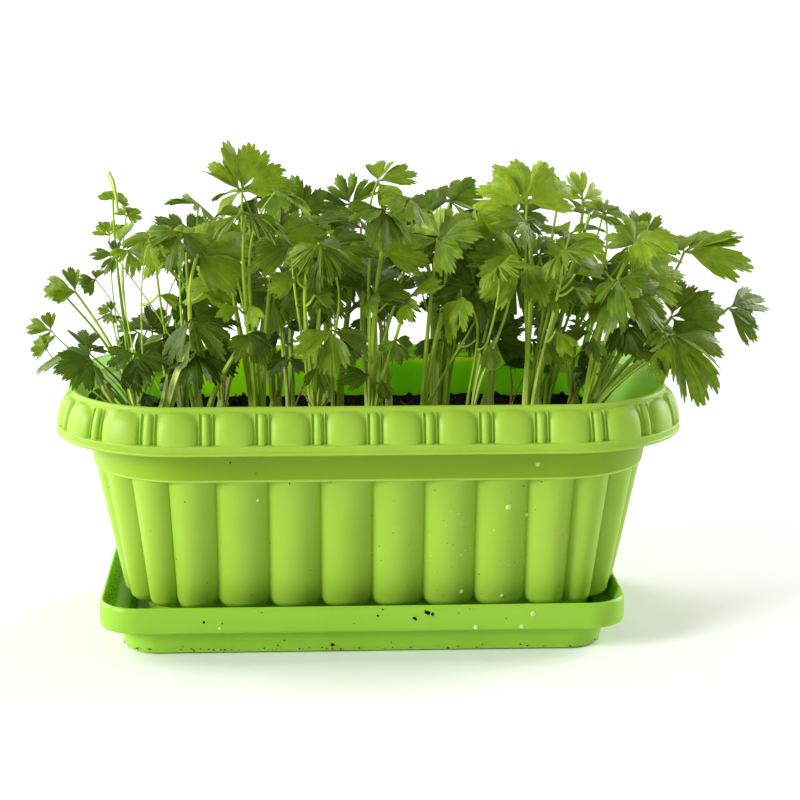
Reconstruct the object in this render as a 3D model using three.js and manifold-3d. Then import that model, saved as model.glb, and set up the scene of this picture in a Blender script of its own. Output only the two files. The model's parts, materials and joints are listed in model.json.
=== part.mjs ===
// A window-box planter of celery seedlings: a fluted plastic trough with an egg-and-dart rim, standing in
// its drip tray, filled with potting soil, and a crop of young celery plants standing in the soil.
// Millimetres, +Z up, X along the trough, -Y towards the front. The origin is on the tray's flat underside,
// straight below the middle of the trough.

import * as THREE from "three";
import { mergeVertices } from "three/addons/utils/BufferGeometryUtils.js";
import Module from "manifold-3d";

const wasm = await Module();
wasm.setup();

// Driving dimensions
const rim = { halfX: 200, halfY: 110, corner: 81, top: 164.5, bandTop: 142.5, bottom: 136, inset: 13 };
const body = { halfX: 176.2, halfY: 84.6, corner: 62.2, top: 113.5, bottom: 6, taper: 0.2 };
const collarStep = 0.8;
const wall = 2.6;
const potFloor = 9;
const flutes = { count: 30, front: 7, columns: [0, 0.25, 0.5, 0.75] };
// How far the flutes' crests and valleys lie inside the tapering body, from the foot up
const fluteRows = [
  { z: 6, crest: 11, valley: 11 },
  { z: 19.5, crest: 12.5, valley: 12.5 },
  { z: 22, crest: 8.6, valley: 12 },
  { z: 27, crest: 3.4, valley: 9.4 },
  { z: 38, crest: 0, valley: 7 },
  { z: 113.5, crest: 0, valley: 7 },
];
const eggs = { columns: [0, 0.15, 0.34, 0.66, 0.85], relief: [1.8, 0, 4.6, 4.6, 0] };
const drain = { radius: 5, across: [-75, 0, 75], row: 40 };
const pad = { radius: 7, alongX: 120, alongY: 36 };

const tray = {
  shiftX: -5.2,
  lip: { halfX: 167.8, halfY: 87.4, corner: 20, top: 33, bottom: 16 },
  base: { halfX: 153.5, halfY: 77.5, corner: 19 },
  wall: 2.5,
  floor: 3,
  cornerSteps: 6,
};

const soil = { level: 131, crown: 3, gap: 0.4, lump: 2.2 };
const crown = { radius: 4.4, above: 9, below: 9, clearance: 0.35, sides: 6, spread: 2.4 };
const stalk = { sides: 3, foot: 2, head: 1.4, rings: [0, 0.4, 0.8, 1], clearOfBlade: 3.5, awayFromBlade: 0.72 };
const blade = { thickness: 0.8, halfBase: 0.9 };

// One small seeded generator, so that the crop is the same on every run
let draw = 20417;
const random = () => {
  draw = (draw * 1664525 + 1013904223) % 4294967296;
  return draw / 4294967296;
};
const spread = (amount) => (random() * 2 - 1) * amount;

const vector = (x, y, z) => new THREE.Vector3(x, y, z);
const along = (start, direction, distance) => start.clone().addScaledVector(direction, distance);

// A point of a rounded rectangle and its outward normal. The place is counted in flutes: 0 to 7 runs along
// the straight front, 7 to 15 round the right end, 15 to 22 along the back and 22 to 30 round the left end.
function outlinePoint(place, halfX, halfY, corner) {
  const half = flutes.count / 2;
  const turned = place >= half;
  const local = turned ? place - half : place;
  const straightX = halfX - corner;
  const straightY = halfY - corner;
  const arc = (corner * Math.PI) / 2;
  let x, y, nx, ny;
  if (local <= flutes.front) {
    x = -straightX + (2 * straightX * local) / flutes.front;
    y = -halfY;
    nx = 0;
    ny = -1;
  } else {
    const run = ((local - flutes.front) / (half - flutes.front)) * (2 * arc + 2 * straightY);
    if (run < arc || run > arc + 2 * straightY) {
      const angle = run < arc ? run / corner : (run - 2 * straightY) / corner;
      nx = Math.sin(angle);
      ny = -Math.cos(angle);
      x = straightX + corner * nx;
      y = (run < arc ? -straightY : straightY) + corner * ny;
    } else {
      nx = 1;
      ny = 0;
      x = halfX;
      y = run - arc - straightY;
    }
  }
  return turned ? { x: -x, y: -y, nx: -nx, ny: -ny } : { x, y, nx, ny };
}

// Closed rings of points, bottom to top, skinned and capped into one closed body
function skin(rings) {
  const count = rings[0].length;
  const positions = [];
  const triangle = (a, b, c) => positions.push(...a, ...b, ...c);
  for (let row = 0; row + 1 < rings.length; row++) {
    for (let i = 0; i < count; i++) {
      const j = (i + 1) % count;
      const [a, b] = [rings[row][i], rings[row][j]];
      const [c, d] = [rings[row + 1][j], rings[row + 1][i]];
      triangle(a, b, c);
      triangle(a, c, d);
    }
  }
  const cap = (ring, flip) => {
    const flat = ring.map(([x, y]) => new THREE.Vector2(x, y));
    for (const [a, b, c] of THREE.ShapeUtils.triangulateShape(flat, [])) {
      triangle(ring[a], flip ? ring[c] : ring[b], flip ? ring[b] : ring[c]);
    }
  };
  cap(rings[0], true);
  cap(rings[rings.length - 1], false);
  return new THREE.BufferGeometry().setAttribute("position", new THREE.Float32BufferAttribute(positions, 3));
}

// Exact joins and cuts
function solidOf(geometry) {
  const bare = geometry.index ? geometry.toNonIndexed() : geometry.clone();
  bare.deleteAttribute("normal");
  bare.deleteAttribute("uv");
  const merged = mergeVertices(bare, 1e-3);
  const mesh = new wasm.Mesh({
    numProp: 3,
    vertProperties: merged.attributes.position.array,
    triVerts: new Uint32Array(merged.index.array),
  });
  return new wasm.Manifold(mesh);
}

function geometryOf(solid) {
  const mesh = solid.getMesh();
  const geometry = new THREE.BufferGeometry();
  geometry.setAttribute("position", new THREE.BufferAttribute(new Float32Array(mesh.vertProperties), 3));
  geometry.setIndex(new THREE.BufferAttribute(new Uint32Array(mesh.triVerts), 1));
  return geometry;
}

// A ring at a height, from the rounded rectangle there, pushed out by a relief given for each column
function ringAt(z, shape, columns, relief = () => 0) {
  const ring = [];
  for (let k = 0; k < flutes.count; k++) {
    columns.forEach((share, column) => {
      const p = outlinePoint((k + 0.5 + share) % flutes.count, shape.halfX, shape.halfY, shape.corner);
      const out = relief(column, share);
      ring.push([p.x + p.nx * out, p.y + p.ny * out, z]);
    });
  }
  return ring;
}

const inset = (shape, by) => ({ halfX: shape.halfX - by, halfY: shape.halfY - by, corner: shape.corner - by });

// The tapering body at a height
const bodyAt = (z) => inset(body, (body.top - z) * body.taper);

// Plain rings, for surfaces that carry no flutes: the outside ones have two columns a flute, the inside one
const plainRing = (z, shape) => ringAt(z, shape, [0, 0.5]);
const innerRing = (z, shape) => ringAt(z, shape, [0]);

const cylinder = (radius, sides, x, y, z0, z1) =>
  new THREE.CylinderGeometry(radius, radius, z1 - z0, sides).rotateX(Math.PI / 2).translate(x, y, (z0 + z1) / 2);

// The trough's inside: how far it lies inside the tapering body at each height
const hollow = [
  [potFloor, 15],
  [21, 15],
  [36, 9.8],
  [112, 9.8],
  [120, wall + 0.4],
  [rim.top - 18, wall],
];

// The trough: fluted outside, plain inside, with a hollow rim that carries the egg-and-dart moulding
function makePot() {
  const arch = (share) => 1 - (2 * share - 1) ** 2;
  const fluted = ({ z, crest, valley }) =>
    ringAt(z, bodyAt(z), flutes.columns, (column, share) => -valley + (valley - crest) * arch(share));
  const trunk = solidOf(skin(fluteRows.map(fluted)));
  const upper = solidOf(
    skin([
      plainRing(body.top, inset(bodyAt(body.top), -collarStep)),
      plainRing(rim.top - 6, bodyAt(rim.top - 6)),
    ]),
  );
  // The rim's outside slopes out and down from the top edge to a plain band
  const moulded = (z, by, full) => ringAt(z, inset(rim, by), eggs.columns, (column) => full * eggs.relief[column]);
  const flange = solidOf(
    skin([
      moulded(rim.bottom, 0.6, 0),
      moulded(rim.bandTop - 1, 0, 0),
      moulded(rim.bandTop, 3.4, 0.35),
      moulded(rim.bandTop + 8, 4.6, 1),
      moulded(rim.top - 5, 9, 0.6),
      moulded(rim.top, 10.6, 0),
    ]),
  );
  const inner = solidOf(
    skin([
      ...hollow.map(([z, by]) => plainRing(z, inset(bodyAt(z), by))),
      plainRing(rim.top + 1, inset(rim, rim.inset)),
    ]),
  );
  // The hollow under the rim, open downwards
  const hollowOutside = solidOf(
    skin([
      innerRing(rim.bottom - 1, inset(rim, 2.8)),
      innerRing(rim.bottom + 8, inset(rim, 7)),
      innerRing(rim.top - 7, inset(rim, 12)),
    ]),
  );
  const hollowInside = solidOf(
    skin([
      innerRing(rim.bottom - 2, bodyAt(rim.bottom - 2)),
      innerRing(rim.top - 6, bodyAt(rim.top - 6)),
    ]),
  );
  let pot = trunk.add(upper).add(flange.subtract(hollowOutside.subtract(hollowInside))).subtract(inner);
  for (const x of [-pad.alongX, 0, pad.alongX]) {
    for (const y of [-pad.alongY, pad.alongY]) {
      pot = pot.add(solidOf(cylinder(pad.radius, 8, x, y, tray.floor, body.bottom + 1)));
    }
  }
  for (const x of drain.across) {
    for (const y of [-drain.row / 2, drain.row / 2]) {
      pot = pot.subtract(solidOf(cylinder(drain.radius, 6, x, y, body.bottom - 1, potFloor + 1)));
    }
  }
  return geometryOf(pot);
}

// The drip tray: a foot, an overhanging lip and an open dish inside
function trayRing(z, shape) {
  const ring = [];
  const { halfX, halfY, corner } = shape;
  for (const [signX, signY, from] of [[1, -1, -90], [1, 1, 0], [-1, 1, 90], [-1, -1, 180]]) {
    for (let i = 0; i <= tray.cornerSteps; i++) {
      const angle = ((from + (90 * i) / tray.cornerSteps) * Math.PI) / 180;
      const x = signX * (halfX - corner) + corner * Math.cos(angle) + tray.shiftX;
      ring.push([x, signY * (halfY - corner) + corner * Math.sin(angle), z]);
    }
  }
  return ring;
}

function makeTray() {
  const { lip, base } = tray;
  const outside = solidOf(
    skin([
      trayRing(0, inset(base, 1.5)),
      trayRing(2, base),
      trayRing(lip.bottom, inset(base, -2)),
      trayRing(lip.bottom + 0.5, inset(lip, 1)),
      trayRing(lip.top - 1.6, lip),
      trayRing(lip.top, inset(lip, 1.1)),
    ]),
  );
  const inside = solidOf(
    skin([
      trayRing(tray.floor, inset(base, tray.wall + 1)),
      trayRing(lip.bottom + 2, inset(base, tray.wall + 0.1)),
      trayRing(lip.bottom + 3.5, inset(lip, 6.5)),
      trayRing(lip.top + 0.1, inset(lip, 2.3)),
    ]),
  );
  return geometryOf(outside.subtract(inside));
}

// The crown of each seedling on the soil: three rows along the trough, set slightly out of line
const rows = [
  { y: -52, xs: [-142, -108, -72, -38, -4, 30, 62, 98, 132] },
  { y: -4, xs: [-152, -120, -88, -54, -20, 14, 48, 82, 116, 150] },
  { y: 44, xs: [-134, -98, -62, -28, 8, 44, 80, 114, 142] },
];

function plantCrop() {
  const crop = [];
  for (const { y, xs } of rows) {
    for (const x of xs) crop.push({ x: x + spread(3), y: y + spread(5), leaves: [] });
  }
  return crop;
}

// The leaves that stand out of the crop, as [foot x, foot y, then the place where the leaflets meet: x, y, z,
// then the turn of the middle leaflet in degrees (0 to the right, 90 up), and its length]
const leading = [
  [-72, -52, -83, -30, 299, 88, 40],
  [98, -52, 98, -58, 292, 92, 40],
  [-152, -4, -166, 0, 262, 100, 28],
  [132, -4, 216, -10, 247, -12, 44],
  [116, -4, 170, -20, 250, 5, 40],
  [150, -4, 234, -10, 208, 27, 38],
  [150, -4, 193, -45, 206, 20, 40],
  [132, -52, 165, -50, 236, 0, 36],
  [62, -52, 86, -54, 242, 165, 30],
  [98, -52, 122, -62, 248, 70, 24],
  [116, -4, 140, 0, 290, 100, 26],
  [-152, -4, -204, -10, 196, 165, 24],
  [-152, -4, -178, -40, 188, 178, 32],
  [-142, -52, -172, -64, 182, 205, 26],
  [-142, -52, -186, -20, 218, 160, 22],
  [-108, -52, -160, -34, 248, 165, 24],
  [-120, -4, -127, -20, 244, 140, 34],
  [-134, 44, -118, 12, 262, 115, 32],
  [-98, 44, -44, 4, 270, 130, 32],
  [-20, -4, -11, 10, 278, 100, 34],
  [14, -4, 16, 0, 293, 60, 36],
  [48, -4, 54, 10, 276, 88, 30],
  [116, -4, 154, 12, 268, 68, 28],
  [114, 44, 180, 18, 246, 80, 30],
  [-62, -52, -58, -50, 262, 40, 34],
  [-108, -52, -112, -62, 212, -60, 34],
  [-38, -52, -22, -62, 238, 150, 36],
  [-4, -52, 6, -60, 252, 60, 34],
  [30, -52, 44, -58, 262, 120, 36],
  [30, -52, 66, -62, 232, 200, 36],
  [-54, -4, -62, -36, 222, 240, 34],
  [82, -4, 72, -20, 214, 250, 36],
  [-4, -52, 14, -72, 200, -80, 24],
];

// Free space: a leaf is only set where every point of it keeps clear of the leaves that are already there
const clearance = 5.5;
const taken = new Map();
const cellOf = (v) => Math.floor(v / clearance);
const keyOf = (i, j, k) => (i * 1000 + j) * 1000 + k;

function isFree(points, plant) {
  const { halfX, halfY, corner } = inset(rim, rim.inset);
  const beyond = (p, hx, hy, r) => {
    const dx = Math.max(Math.abs(p.x) - (hx - r), 0);
    const dy = Math.max(Math.abs(p.y) - (hy - r), 0);
    return Math.sqrt(dx * dx + dy * dy) - r;
  };
  for (const p of points) {
    const overSoil = beyond(p, halfX, halfY, corner) < -4;
    const pastRim = beyond(p, rim.halfX, rim.halfY, rim.corner) > 4;
    if (p.z < rim.top + 4 && !(overSoil || (pastRim && p.z > rim.bottom - 30))) return false;
    if (p.z < soil.level + 9 && !p.isStalk) return false;
    const [ci, cj, ck] = [cellOf(p.x), cellOf(p.y), cellOf(p.z)];
    for (let i = ci - 1; i <= ci + 1; i++) {
      for (let j = cj - 1; j <= cj + 1; j++) {
        for (let k = ck - 1; k <= ck + 1; k++) {
          for (const q of taken.get(keyOf(i, j, k)) ?? []) {
            if (q.plant === plant && (p.isStalk || q.isStalk)) continue;
            const [dx, dy, dz] = [p.x - q.x, p.y - q.y, p.z - q.z];
            if (dx * dx + dy * dy + dz * dz < clearance * clearance) return false;
          }
        }
      }
    }
  }
  return true;
}

function take(points, plant) {
  for (const p of points) {
    const key = keyOf(cellOf(p.x), cellOf(p.y), cellOf(p.z));
    if (!taken.has(key)) taken.set(key, []);
    taken.get(key).push({ x: p.x, y: p.y, z: p.z, isStalk: p.isStalk, plant });
  }
}

// A leaf's own axes: its face looks up and towards the light at the front, and its middle leaflet is turned
// round that face
function leafFrame(leaf) {
  const face = vector(leaf.side, leaf.lean, 1).normalize();
  const right = vector(1, 0, 0).addScaledVector(face, -face.x).normalize();
  const up = face.clone().cross(right);
  const turn = (leaf.turn * Math.PI) / 180;
  return { face, right, up, turn };
}

// Three leaflets fan out from where they meet: the middle one and a shorter one to each side
const leaflets = [
  { swing: -1, share: 0.86 },
  { swing: 0, share: 1 },
  { swing: 1, share: 0.86 },
];

// A point of a leaflet, from its distance and angle off the leaflet's own rib, on the drooping, cupped blade
function bladePoint(leaf, frame, leaflet, reach, angle) {
  const length = leaf.length * leaflet.share;
  const direction = frame.turn + leaflet.swing * leaf.opening + angle;
  const distance = reach * length;
  const ahead = reach * Math.cos(angle);
  const aside = reach * Math.sin(angle);
  const lift = length * (leaf.cup * aside * aside - leaf.droop * ahead * ahead);
  return leaf.at
    .clone()
    .addScaledVector(frame.right, distance * Math.cos(direction))
    .addScaledVector(frame.up, distance * Math.sin(direction))
    .addScaledVector(frame.face, lift);
}

// The stalk rises from the crown and arches over to meet the leaf from its underside
function stalkPoints(leaf, plant, shares) {
  const start = vector(plant.x + leaf.offset[0], plant.y + leaf.offset[1], soil.level + 7);
  const end = leaf.at;
  const height = end.z - start.z;
  const frame = leafFrame(leaf);
  const middle = along(vector(0, 0, 0), frame.right, Math.cos(frame.turn)).addScaledVector(
    frame.up,
    Math.sin(frame.turn),
  );
  const arrive = middle.multiplyScalar(0.5).add(vector(0, 0, 0.5)).addScaledVector(frame.face, 0.5).normalize();
  const lean = vector((end.x - start.x) * 0.14, (end.y - start.y) * 0.14, height * 0.42);
  const curve = new THREE.CubicBezierCurve3(
    start,
    start.clone().add(lean),
    along(end, arrive, -0.3 * height),
    end,
  );
  return shares.map((share) => curve.getPoint(share));
}

const sampleReach = [0.3, 0.55, 0.78, 0.98];
const sampleAngle = [-0.5, -0.25, 0, 0.25, 0.5];
const sampleCount = 27;

function samplesOf(leaf, plant) {
  const frame = leafFrame(leaf);
  const points = [];
  for (const leaflet of leaflets) {
    for (const reach of sampleReach) {
      for (const angle of sampleAngle) points.push(bladePoint(leaf, frame, leaflet, reach, angle));
    }
  }
  const corners = stalkPoints(leaf, plant, stalk.rings);
  for (let i = 2; i < sampleCount; i++) {
    const share = i / sampleCount;
    const k = stalk.rings.findIndex((ring) => ring > share) - 1;
    const part = (share - stalk.rings[k]) / (stalk.rings[k + 1] - stalk.rings[k]);
    const p = corners[k].clone().lerp(corners[k + 1], part);
    p.isStalk = true;
    points.push(p);
  }
  return points;
}

// A stalk that would run through its own blade is no good
function isClearOfBlade(points, leaf) {
  const stalks = points.filter((p) => p.isStalk && p.distanceTo(leaf.at) > 2 * stalk.clearOfBlade);
  const blades = points.filter((p) => !p.isStalk);
  const away = points[points.length - 1].clone().sub(leaf.at).normalize();
  const leaves = blades.every((q) => q.clone().sub(leaf.at).normalize().dot(away) < stalk.awayFromBlade);
  return leaves && stalks.every((p) => blades.every((q) => p.distanceTo(q) > stalk.clearOfBlade));
}

// Each try shifts the leaf in depth, then turns it, and lastly lifts it, until it hangs clear of the others
const tries = [
  [0, 0, 0], [7, 0, 0], [-7, 0, 0], [0, 14, 0], [0, -14, 0], [13, 10, 4], [-13, -10, 4], [6, -26, 8],
  [-6, 26, 8], [19, 18, -6], [-19, -18, -6], [0, 40, 10], [0, -40, -8], [26, 0, 12], [-26, 0, 12], [10, 60, -12],
];
const riseOverDepth = 0.27;

function setLeaf(plant, leaf, index) {
  for (const [depth, twist, lift] of tries) {
    const placed = { ...leaf, turn: leaf.turn + twist };
    placed.at = vector(leaf.at.x, leaf.at.y + depth, leaf.at.z - depth * riseOverDepth + lift);
    const points = samplesOf(placed, plant);
    if (isClearOfBlade(points, placed) && isFree(points, index)) {
      take(points, index);
      plant.leaves.push(placed);
      return true;
    }
  }
  return false;
}

function newLeaf(x, y, z, turn, length, plant) {
  const bearing = Math.atan2(y - plant.y, x - plant.x);
  return {
    at: vector(x, y, z),
    turn,
    length,
    side: spread(0.42),
    lean: -1.05 + spread(0.5),
    opening: 1.2 + spread(0.1),
    cup: 0.1 + spread(0.22),
    droop: 0.16 + spread(0.14),
    offset: [crown.spread * Math.cos(bearing), crown.spread * Math.sin(bearing)],
  };
}

// Leaf after leaf, each plant in turn fills the space over and beside its own crown
const rounds = [
  { height: 104, reach: 22, length: 38 },
  { height: 78, reach: 34, length: 35 },
  { height: 126, reach: 16, length: 34 },
  { height: 52, reach: 30, length: 30 },
  { height: 92, reach: 40, length: 32 },
];
const mostLeaves = 67;

function growCrop() {
  const crop = plantCrop();
  let total = 0;
  for (const [footX, footY, x, y, z, turn, length] of leading) {
    const distance = (plant) => Math.hypot(plant.x - footX, plant.y - footY);
    const plant = crop.reduce((best, other) => (distance(other) < distance(best) ? other : best));
    const index = crop.indexOf(plant);
    if (setLeaf(plant, newLeaf(x, y, z, turn, length, plant), index)) total++;
  }
  for (const { height, reach, length } of rounds) {
    crop.forEach((plant, index) => {
      const bearing = random() * 2 * Math.PI;
      const arch = 1 - 0.25 * (plant.x / 170) ** 2;
      const out = reach * (0.6 + 0.5 * random());
      const x = plant.x + out * Math.cos(bearing) + plant.x * 0.1;
      const y = plant.y + out * Math.sin(bearing) * 0.8;
      const z = soil.level + height * arch + spread(12);
      const turn = (bearing * 180) / Math.PI + spread(35);
      const leaf = newLeaf(x, y, z, turn, length + spread(5), plant);
      if (total < mostLeaves && plant.leaves.length < 5 && setLeaf(plant, leaf, index)) total++;
    });
  }
  return crop.filter((plant) => plant.leaves.length > 0);
}

// A leaflet's lobes, as distance and angle off its rib: the side lobe's tip, the notch and the apex
const lobes = [
  [0.8, -0.52],
  [0.66, -0.24],
  [1, 0],
  [0.66, 0.24],
  [0.8, 0.52],
];
const crotch = 0.2;

const flatGeometry = (positions) =>
  new THREE.BufferGeometry().setAttribute("position", new THREE.Float32BufferAttribute(positions, 3));

// A leaf's blade as one thin closed body, whose two faces share one pattern of triangles
function bladeSolid(leaf, frame, cross) {
  const half = blade.thickness / 2;
  const outline = [along(leaf.at, cross, -blade.halfBase)];
  leaflets.forEach((leaflet, i) => {
    for (const [reach, angle] of lobes) outline.push(bladePoint(leaf, frame, leaflet, reach, angle));
    if (i < 2) {
      const between = { swing: leaflet.swing + 0.5, share: 1 };
      outline.push(bladePoint(leaf, frame, between, crotch, 0));
    }
  });
  outline.push(along(leaf.at, cross, blade.halfBase));
  const ribs = leaflets.map((leaflet) => bladePoint(leaf, frame, leaflet, 0.5, 0));
  const points = [...outline, ...ribs];
  const last = outline.length - 1;
  const [ribA, ribB, ribC] = [last + 1, last + 2, last + 3];
  const triangles = [];
  const fan = (rib, from, to) => {
    for (let i = from; i < to; i++) triangles.push([rib, i, i + 1]);
  };
  fan(ribA, 0, 6);
  fan(ribB, 6, 12);
  fan(ribC, 12, last);
  triangles.push([ribA, 6, 0], [ribB, 12, 6], [0, 6, 12], [0, 12, last], [ribC, last, 12]);
  const top = points.map((p) => along(p, frame.face, half).toArray());
  const bottom = points.map((p) => along(p, frame.face, -half).toArray());
  const positions = [];
  for (const [a, b, c] of triangles) {
    positions.push(...top[a], ...top[b], ...top[c], ...bottom[a], ...bottom[c], ...bottom[b]);
  }
  for (let i = 0; i <= last; i++) {
    const j = (i + 1) % outline.length;
    positions.push(...bottom[i], ...bottom[j], ...top[j], ...bottom[i], ...top[j], ...top[i]);
  }
  return solidOf(flatGeometry(positions));
}

// The stalk, from just inside the blade's base down into the crown
function stalkSolid(leaf, plant, cross) {
  const path = stalkPoints(leaf, plant, stalk.rings).reverse();
  const positions = [];
  const rings = [];
  let across = cross.clone();
  path.forEach((point, i) => {
    const tangent = path[Math.max(i, 1)].clone().sub(path[Math.max(i, 1) - 1]).normalize();
    across = across.addScaledVector(tangent, -across.dot(tangent)).normalize();
    const depth = across.clone().cross(tangent);
    const radius = stalk.head + ((stalk.foot - stalk.head) * i) / (path.length - 1);
    const ring = [];
    for (let side = 0; side < stalk.sides; side++) {
      const angle = (2 * Math.PI * side) / stalk.sides;
      const out = along(along(point, across, radius * Math.cos(angle)), depth, radius * Math.sin(angle));
      ring.push(out.toArray());
    }
    rings.push(ring);
  });
  for (let i = 0; i + 1 < rings.length; i++) {
    for (let k = 0; k < stalk.sides; k++) {
      const m = (k + 1) % stalk.sides;
      positions.push(...rings[i][k], ...rings[i + 1][k], ...rings[i + 1][m]);
      positions.push(...rings[i][k], ...rings[i + 1][m], ...rings[i][m]);
    }
  }
  const foot = rings[rings.length - 1];
  for (let k = 1; k + 1 < stalk.sides; k++) {
    positions.push(...rings[0][0], ...rings[0][k], ...rings[0][k + 1]);
    positions.push(...foot[0], ...foot[k + 1], ...foot[k]);
  }
  return solidOf(flatGeometry(positions));
}

// A leaf grown on its stalk
function leafSolid(leaf, plant) {
  const frame = leafFrame(leaf);
  const cross = vector(0, 0, 0)
    .addScaledVector(frame.right, -Math.sin(frame.turn))
    .addScaledVector(frame.up, Math.cos(frame.turn));
  return bladeSolid(leaf, frame, cross).add(stalkSolid(leaf, plant, cross));
}

const crownCylinder = (plant, grow) =>
  cylinder(crown.radius + grow, crown.sides, plant.x, plant.y, soil.level - crown.below - grow, soil.level + crown.above);

function makeSeedling(plant) {
  let solid = solidOf(crownCylinder(plant, 0));
  for (const leaf of plant.leaves) solid = solid.add(leafSolid(leaf, plant));
  return geometryOf(solid);
}

// The soil fills the trough, a little crowned and lumpy, with a plain hole for each seedling's crown
function makeSoil(crop) {
  const fit = (z) => inset(bodyAt(z), wall + soil.gap);
  const lumpy = (z, by, rise) =>
    innerRing(z, inset(fit(soil.level), by)).map(([x, y, h]) => [x, y, h + rise + spread(soil.lump)]);
  const low = ([z, by], i) => innerRing(z + (i ? 0 : soil.gap), inset(bodyAt(z), by + soil.gap + 0.2));
  let ground = solidOf(
    skin([
      ...hollow.slice(0, 5).map(low),
      innerRing(soil.level - 3, fit(soil.level - 3)),
      innerRing(soil.level, inset(fit(soil.level), 1)),
      lumpy(soil.level, 18, soil.crown * 0.4),
      innerRing(soil.level + soil.crown, inset(fit(soil.level), 40)),
    ]),
  );
  for (const plant of crop) ground = ground.subtract(solidOf(crownCylinder(plant, crown.clearance)));
  return geometryOf(ground);
}

const plastic = { color: 0x9ad13c, roughness: 0.42, metalness: 0 };
const materials = {
  pot: new THREE.MeshStandardMaterial(plastic),
  tray: new THREE.MeshStandardMaterial({ ...plastic, color: 0x86c93a, roughness: 0.35 }),
  soil: new THREE.MeshStandardMaterial({ color: 0x1c1512, roughness: 0.95, metalness: 0 }),
  leaf: new THREE.MeshStandardMaterial({ color: 0x4f7d23, roughness: 0.55, metalness: 0 }),
};

const planter = new THREE.Group();

function addNode(name, geometry, material) {
  const mesh = new THREE.Mesh(geometry, material);
  mesh.name = name;
  planter.add(mesh);
}

const crop = growCrop();
addNode("trough", makePot(), materials.pot);
addNode("drip_tray", makeTray(), materials.tray);
addNode("soil", makeSoil(crop), materials.soil);
crop.forEach((plant, i) => {
  addNode(`seedling_${String(i + 1).padStart(2, "0")}`, makeSeedling(plant), materials.leaf);
});

export default planter;
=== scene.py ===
import json
import math
import random
import bpy
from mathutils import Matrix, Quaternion, Vector, noise

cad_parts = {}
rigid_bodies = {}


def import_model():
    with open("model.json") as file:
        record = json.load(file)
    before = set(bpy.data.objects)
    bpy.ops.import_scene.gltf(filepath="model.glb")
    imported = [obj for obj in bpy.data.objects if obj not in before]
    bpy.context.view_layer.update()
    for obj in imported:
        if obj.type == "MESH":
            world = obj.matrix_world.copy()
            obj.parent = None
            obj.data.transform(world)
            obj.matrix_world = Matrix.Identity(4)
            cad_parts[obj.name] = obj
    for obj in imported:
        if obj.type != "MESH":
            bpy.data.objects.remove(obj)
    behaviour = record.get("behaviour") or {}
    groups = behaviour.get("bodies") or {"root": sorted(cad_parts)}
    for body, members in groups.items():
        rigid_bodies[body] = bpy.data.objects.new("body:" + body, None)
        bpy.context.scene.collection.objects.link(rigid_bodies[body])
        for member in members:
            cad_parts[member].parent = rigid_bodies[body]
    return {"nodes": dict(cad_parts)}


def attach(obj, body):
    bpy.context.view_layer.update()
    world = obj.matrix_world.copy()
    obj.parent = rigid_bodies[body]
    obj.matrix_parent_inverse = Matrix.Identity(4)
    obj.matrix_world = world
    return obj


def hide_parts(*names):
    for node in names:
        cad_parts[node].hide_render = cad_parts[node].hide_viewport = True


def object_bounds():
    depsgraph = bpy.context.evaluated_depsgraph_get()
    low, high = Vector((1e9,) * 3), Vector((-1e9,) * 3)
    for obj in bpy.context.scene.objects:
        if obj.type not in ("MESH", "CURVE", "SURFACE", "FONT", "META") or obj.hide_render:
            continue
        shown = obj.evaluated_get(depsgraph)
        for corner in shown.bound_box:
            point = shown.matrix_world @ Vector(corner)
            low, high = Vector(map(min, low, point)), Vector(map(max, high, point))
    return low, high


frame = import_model()
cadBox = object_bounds()
mm = 0.001  # everything below is worked out in millimetres and becomes metres in the mesh
print("frame loaded:", len(frame["nodes"]), "nodes")

# The view of the photograph, in millimetres and degrees
shot = {
    "from": (-46.9, -1350.7, 445.4), "at": (20.9, 0, 146.25), "roll": 0.17, "lens": 94.9, "sensor": 36,
    "farthest": 100,  # in metres
}


def setCamera():
    place, aim = Vector(shot["from"]) * mm, Vector(shot["at"]) * mm
    bpy.ops.object.camera_add(location=place)
    camera = bpy.context.object
    turn = (aim - place).to_track_quat("-Z", "Y") @ Quaternion((0, 0, 1), math.radians(shot["roll"]))
    camera.rotation_mode = "QUATERNION"
    camera.rotation_quaternion = turn
    camera.data.lens = shot["lens"]
    camera.data.sensor_width = shot["sensor"]
    camera.data.clip_end = shot["farthest"]
    bpy.context.scene.camera = camera


setCamera()
print("camera set")


def linear(hexColour):  # sRGB hex to the linear colour that the shaders work in
    channels = [int(hexColour[i:i + 2], 16) / 255 for i in (1, 3, 5)]
    return [c / 12.92 if c <= 0.04045 else ((c + 0.055) / 1.055) ** 2.4 for c in channels] + [1]


def setSockets(material, node, sockets):  # each takes a value, or a link as a node and its output
    for name, value in sockets.items():
        socket = node.inputs[name.replace("_", " ") if isinstance(name, str) else name]
        if isinstance(value, tuple) and isinstance(value[0], bpy.types.Node):
            material.node_tree.links.new(value[0].outputs[value[1]], socket)
        else:
            socket.default_value = value


def addNode(material, kind, settings=None, sockets=None, **named):
    node = material.node_tree.nodes.new("ShaderNode" + kind)
    for name, value in (settings or {}).items():
        setattr(node, name, value)
    setSockets(material, node, {**(sockets or {}), **named})
    return node


def newMaterial(name, **constants):  # a Principled finish, its constant values on the shader's own sockets
    material = bpy.data.materials.new(name)
    material.use_nodes = True
    shader = material.node_tree.nodes["Principled BSDF"]
    setSockets(material, shader, constants)
    return material, shader


def ramp(material, source, stops):  # a colour ramp over a value, as (place, hex) stops
    node = addNode(material, "ValToRGB", Fac=source)
    while len(node.color_ramp.elements) < len(stops):
        node.color_ramp.elements.new(0.5)
    for element, (place, colour) in zip(node.color_ramp.elements, stops):
        element.position = place
        element.color = linear(colour)
    return node


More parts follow.
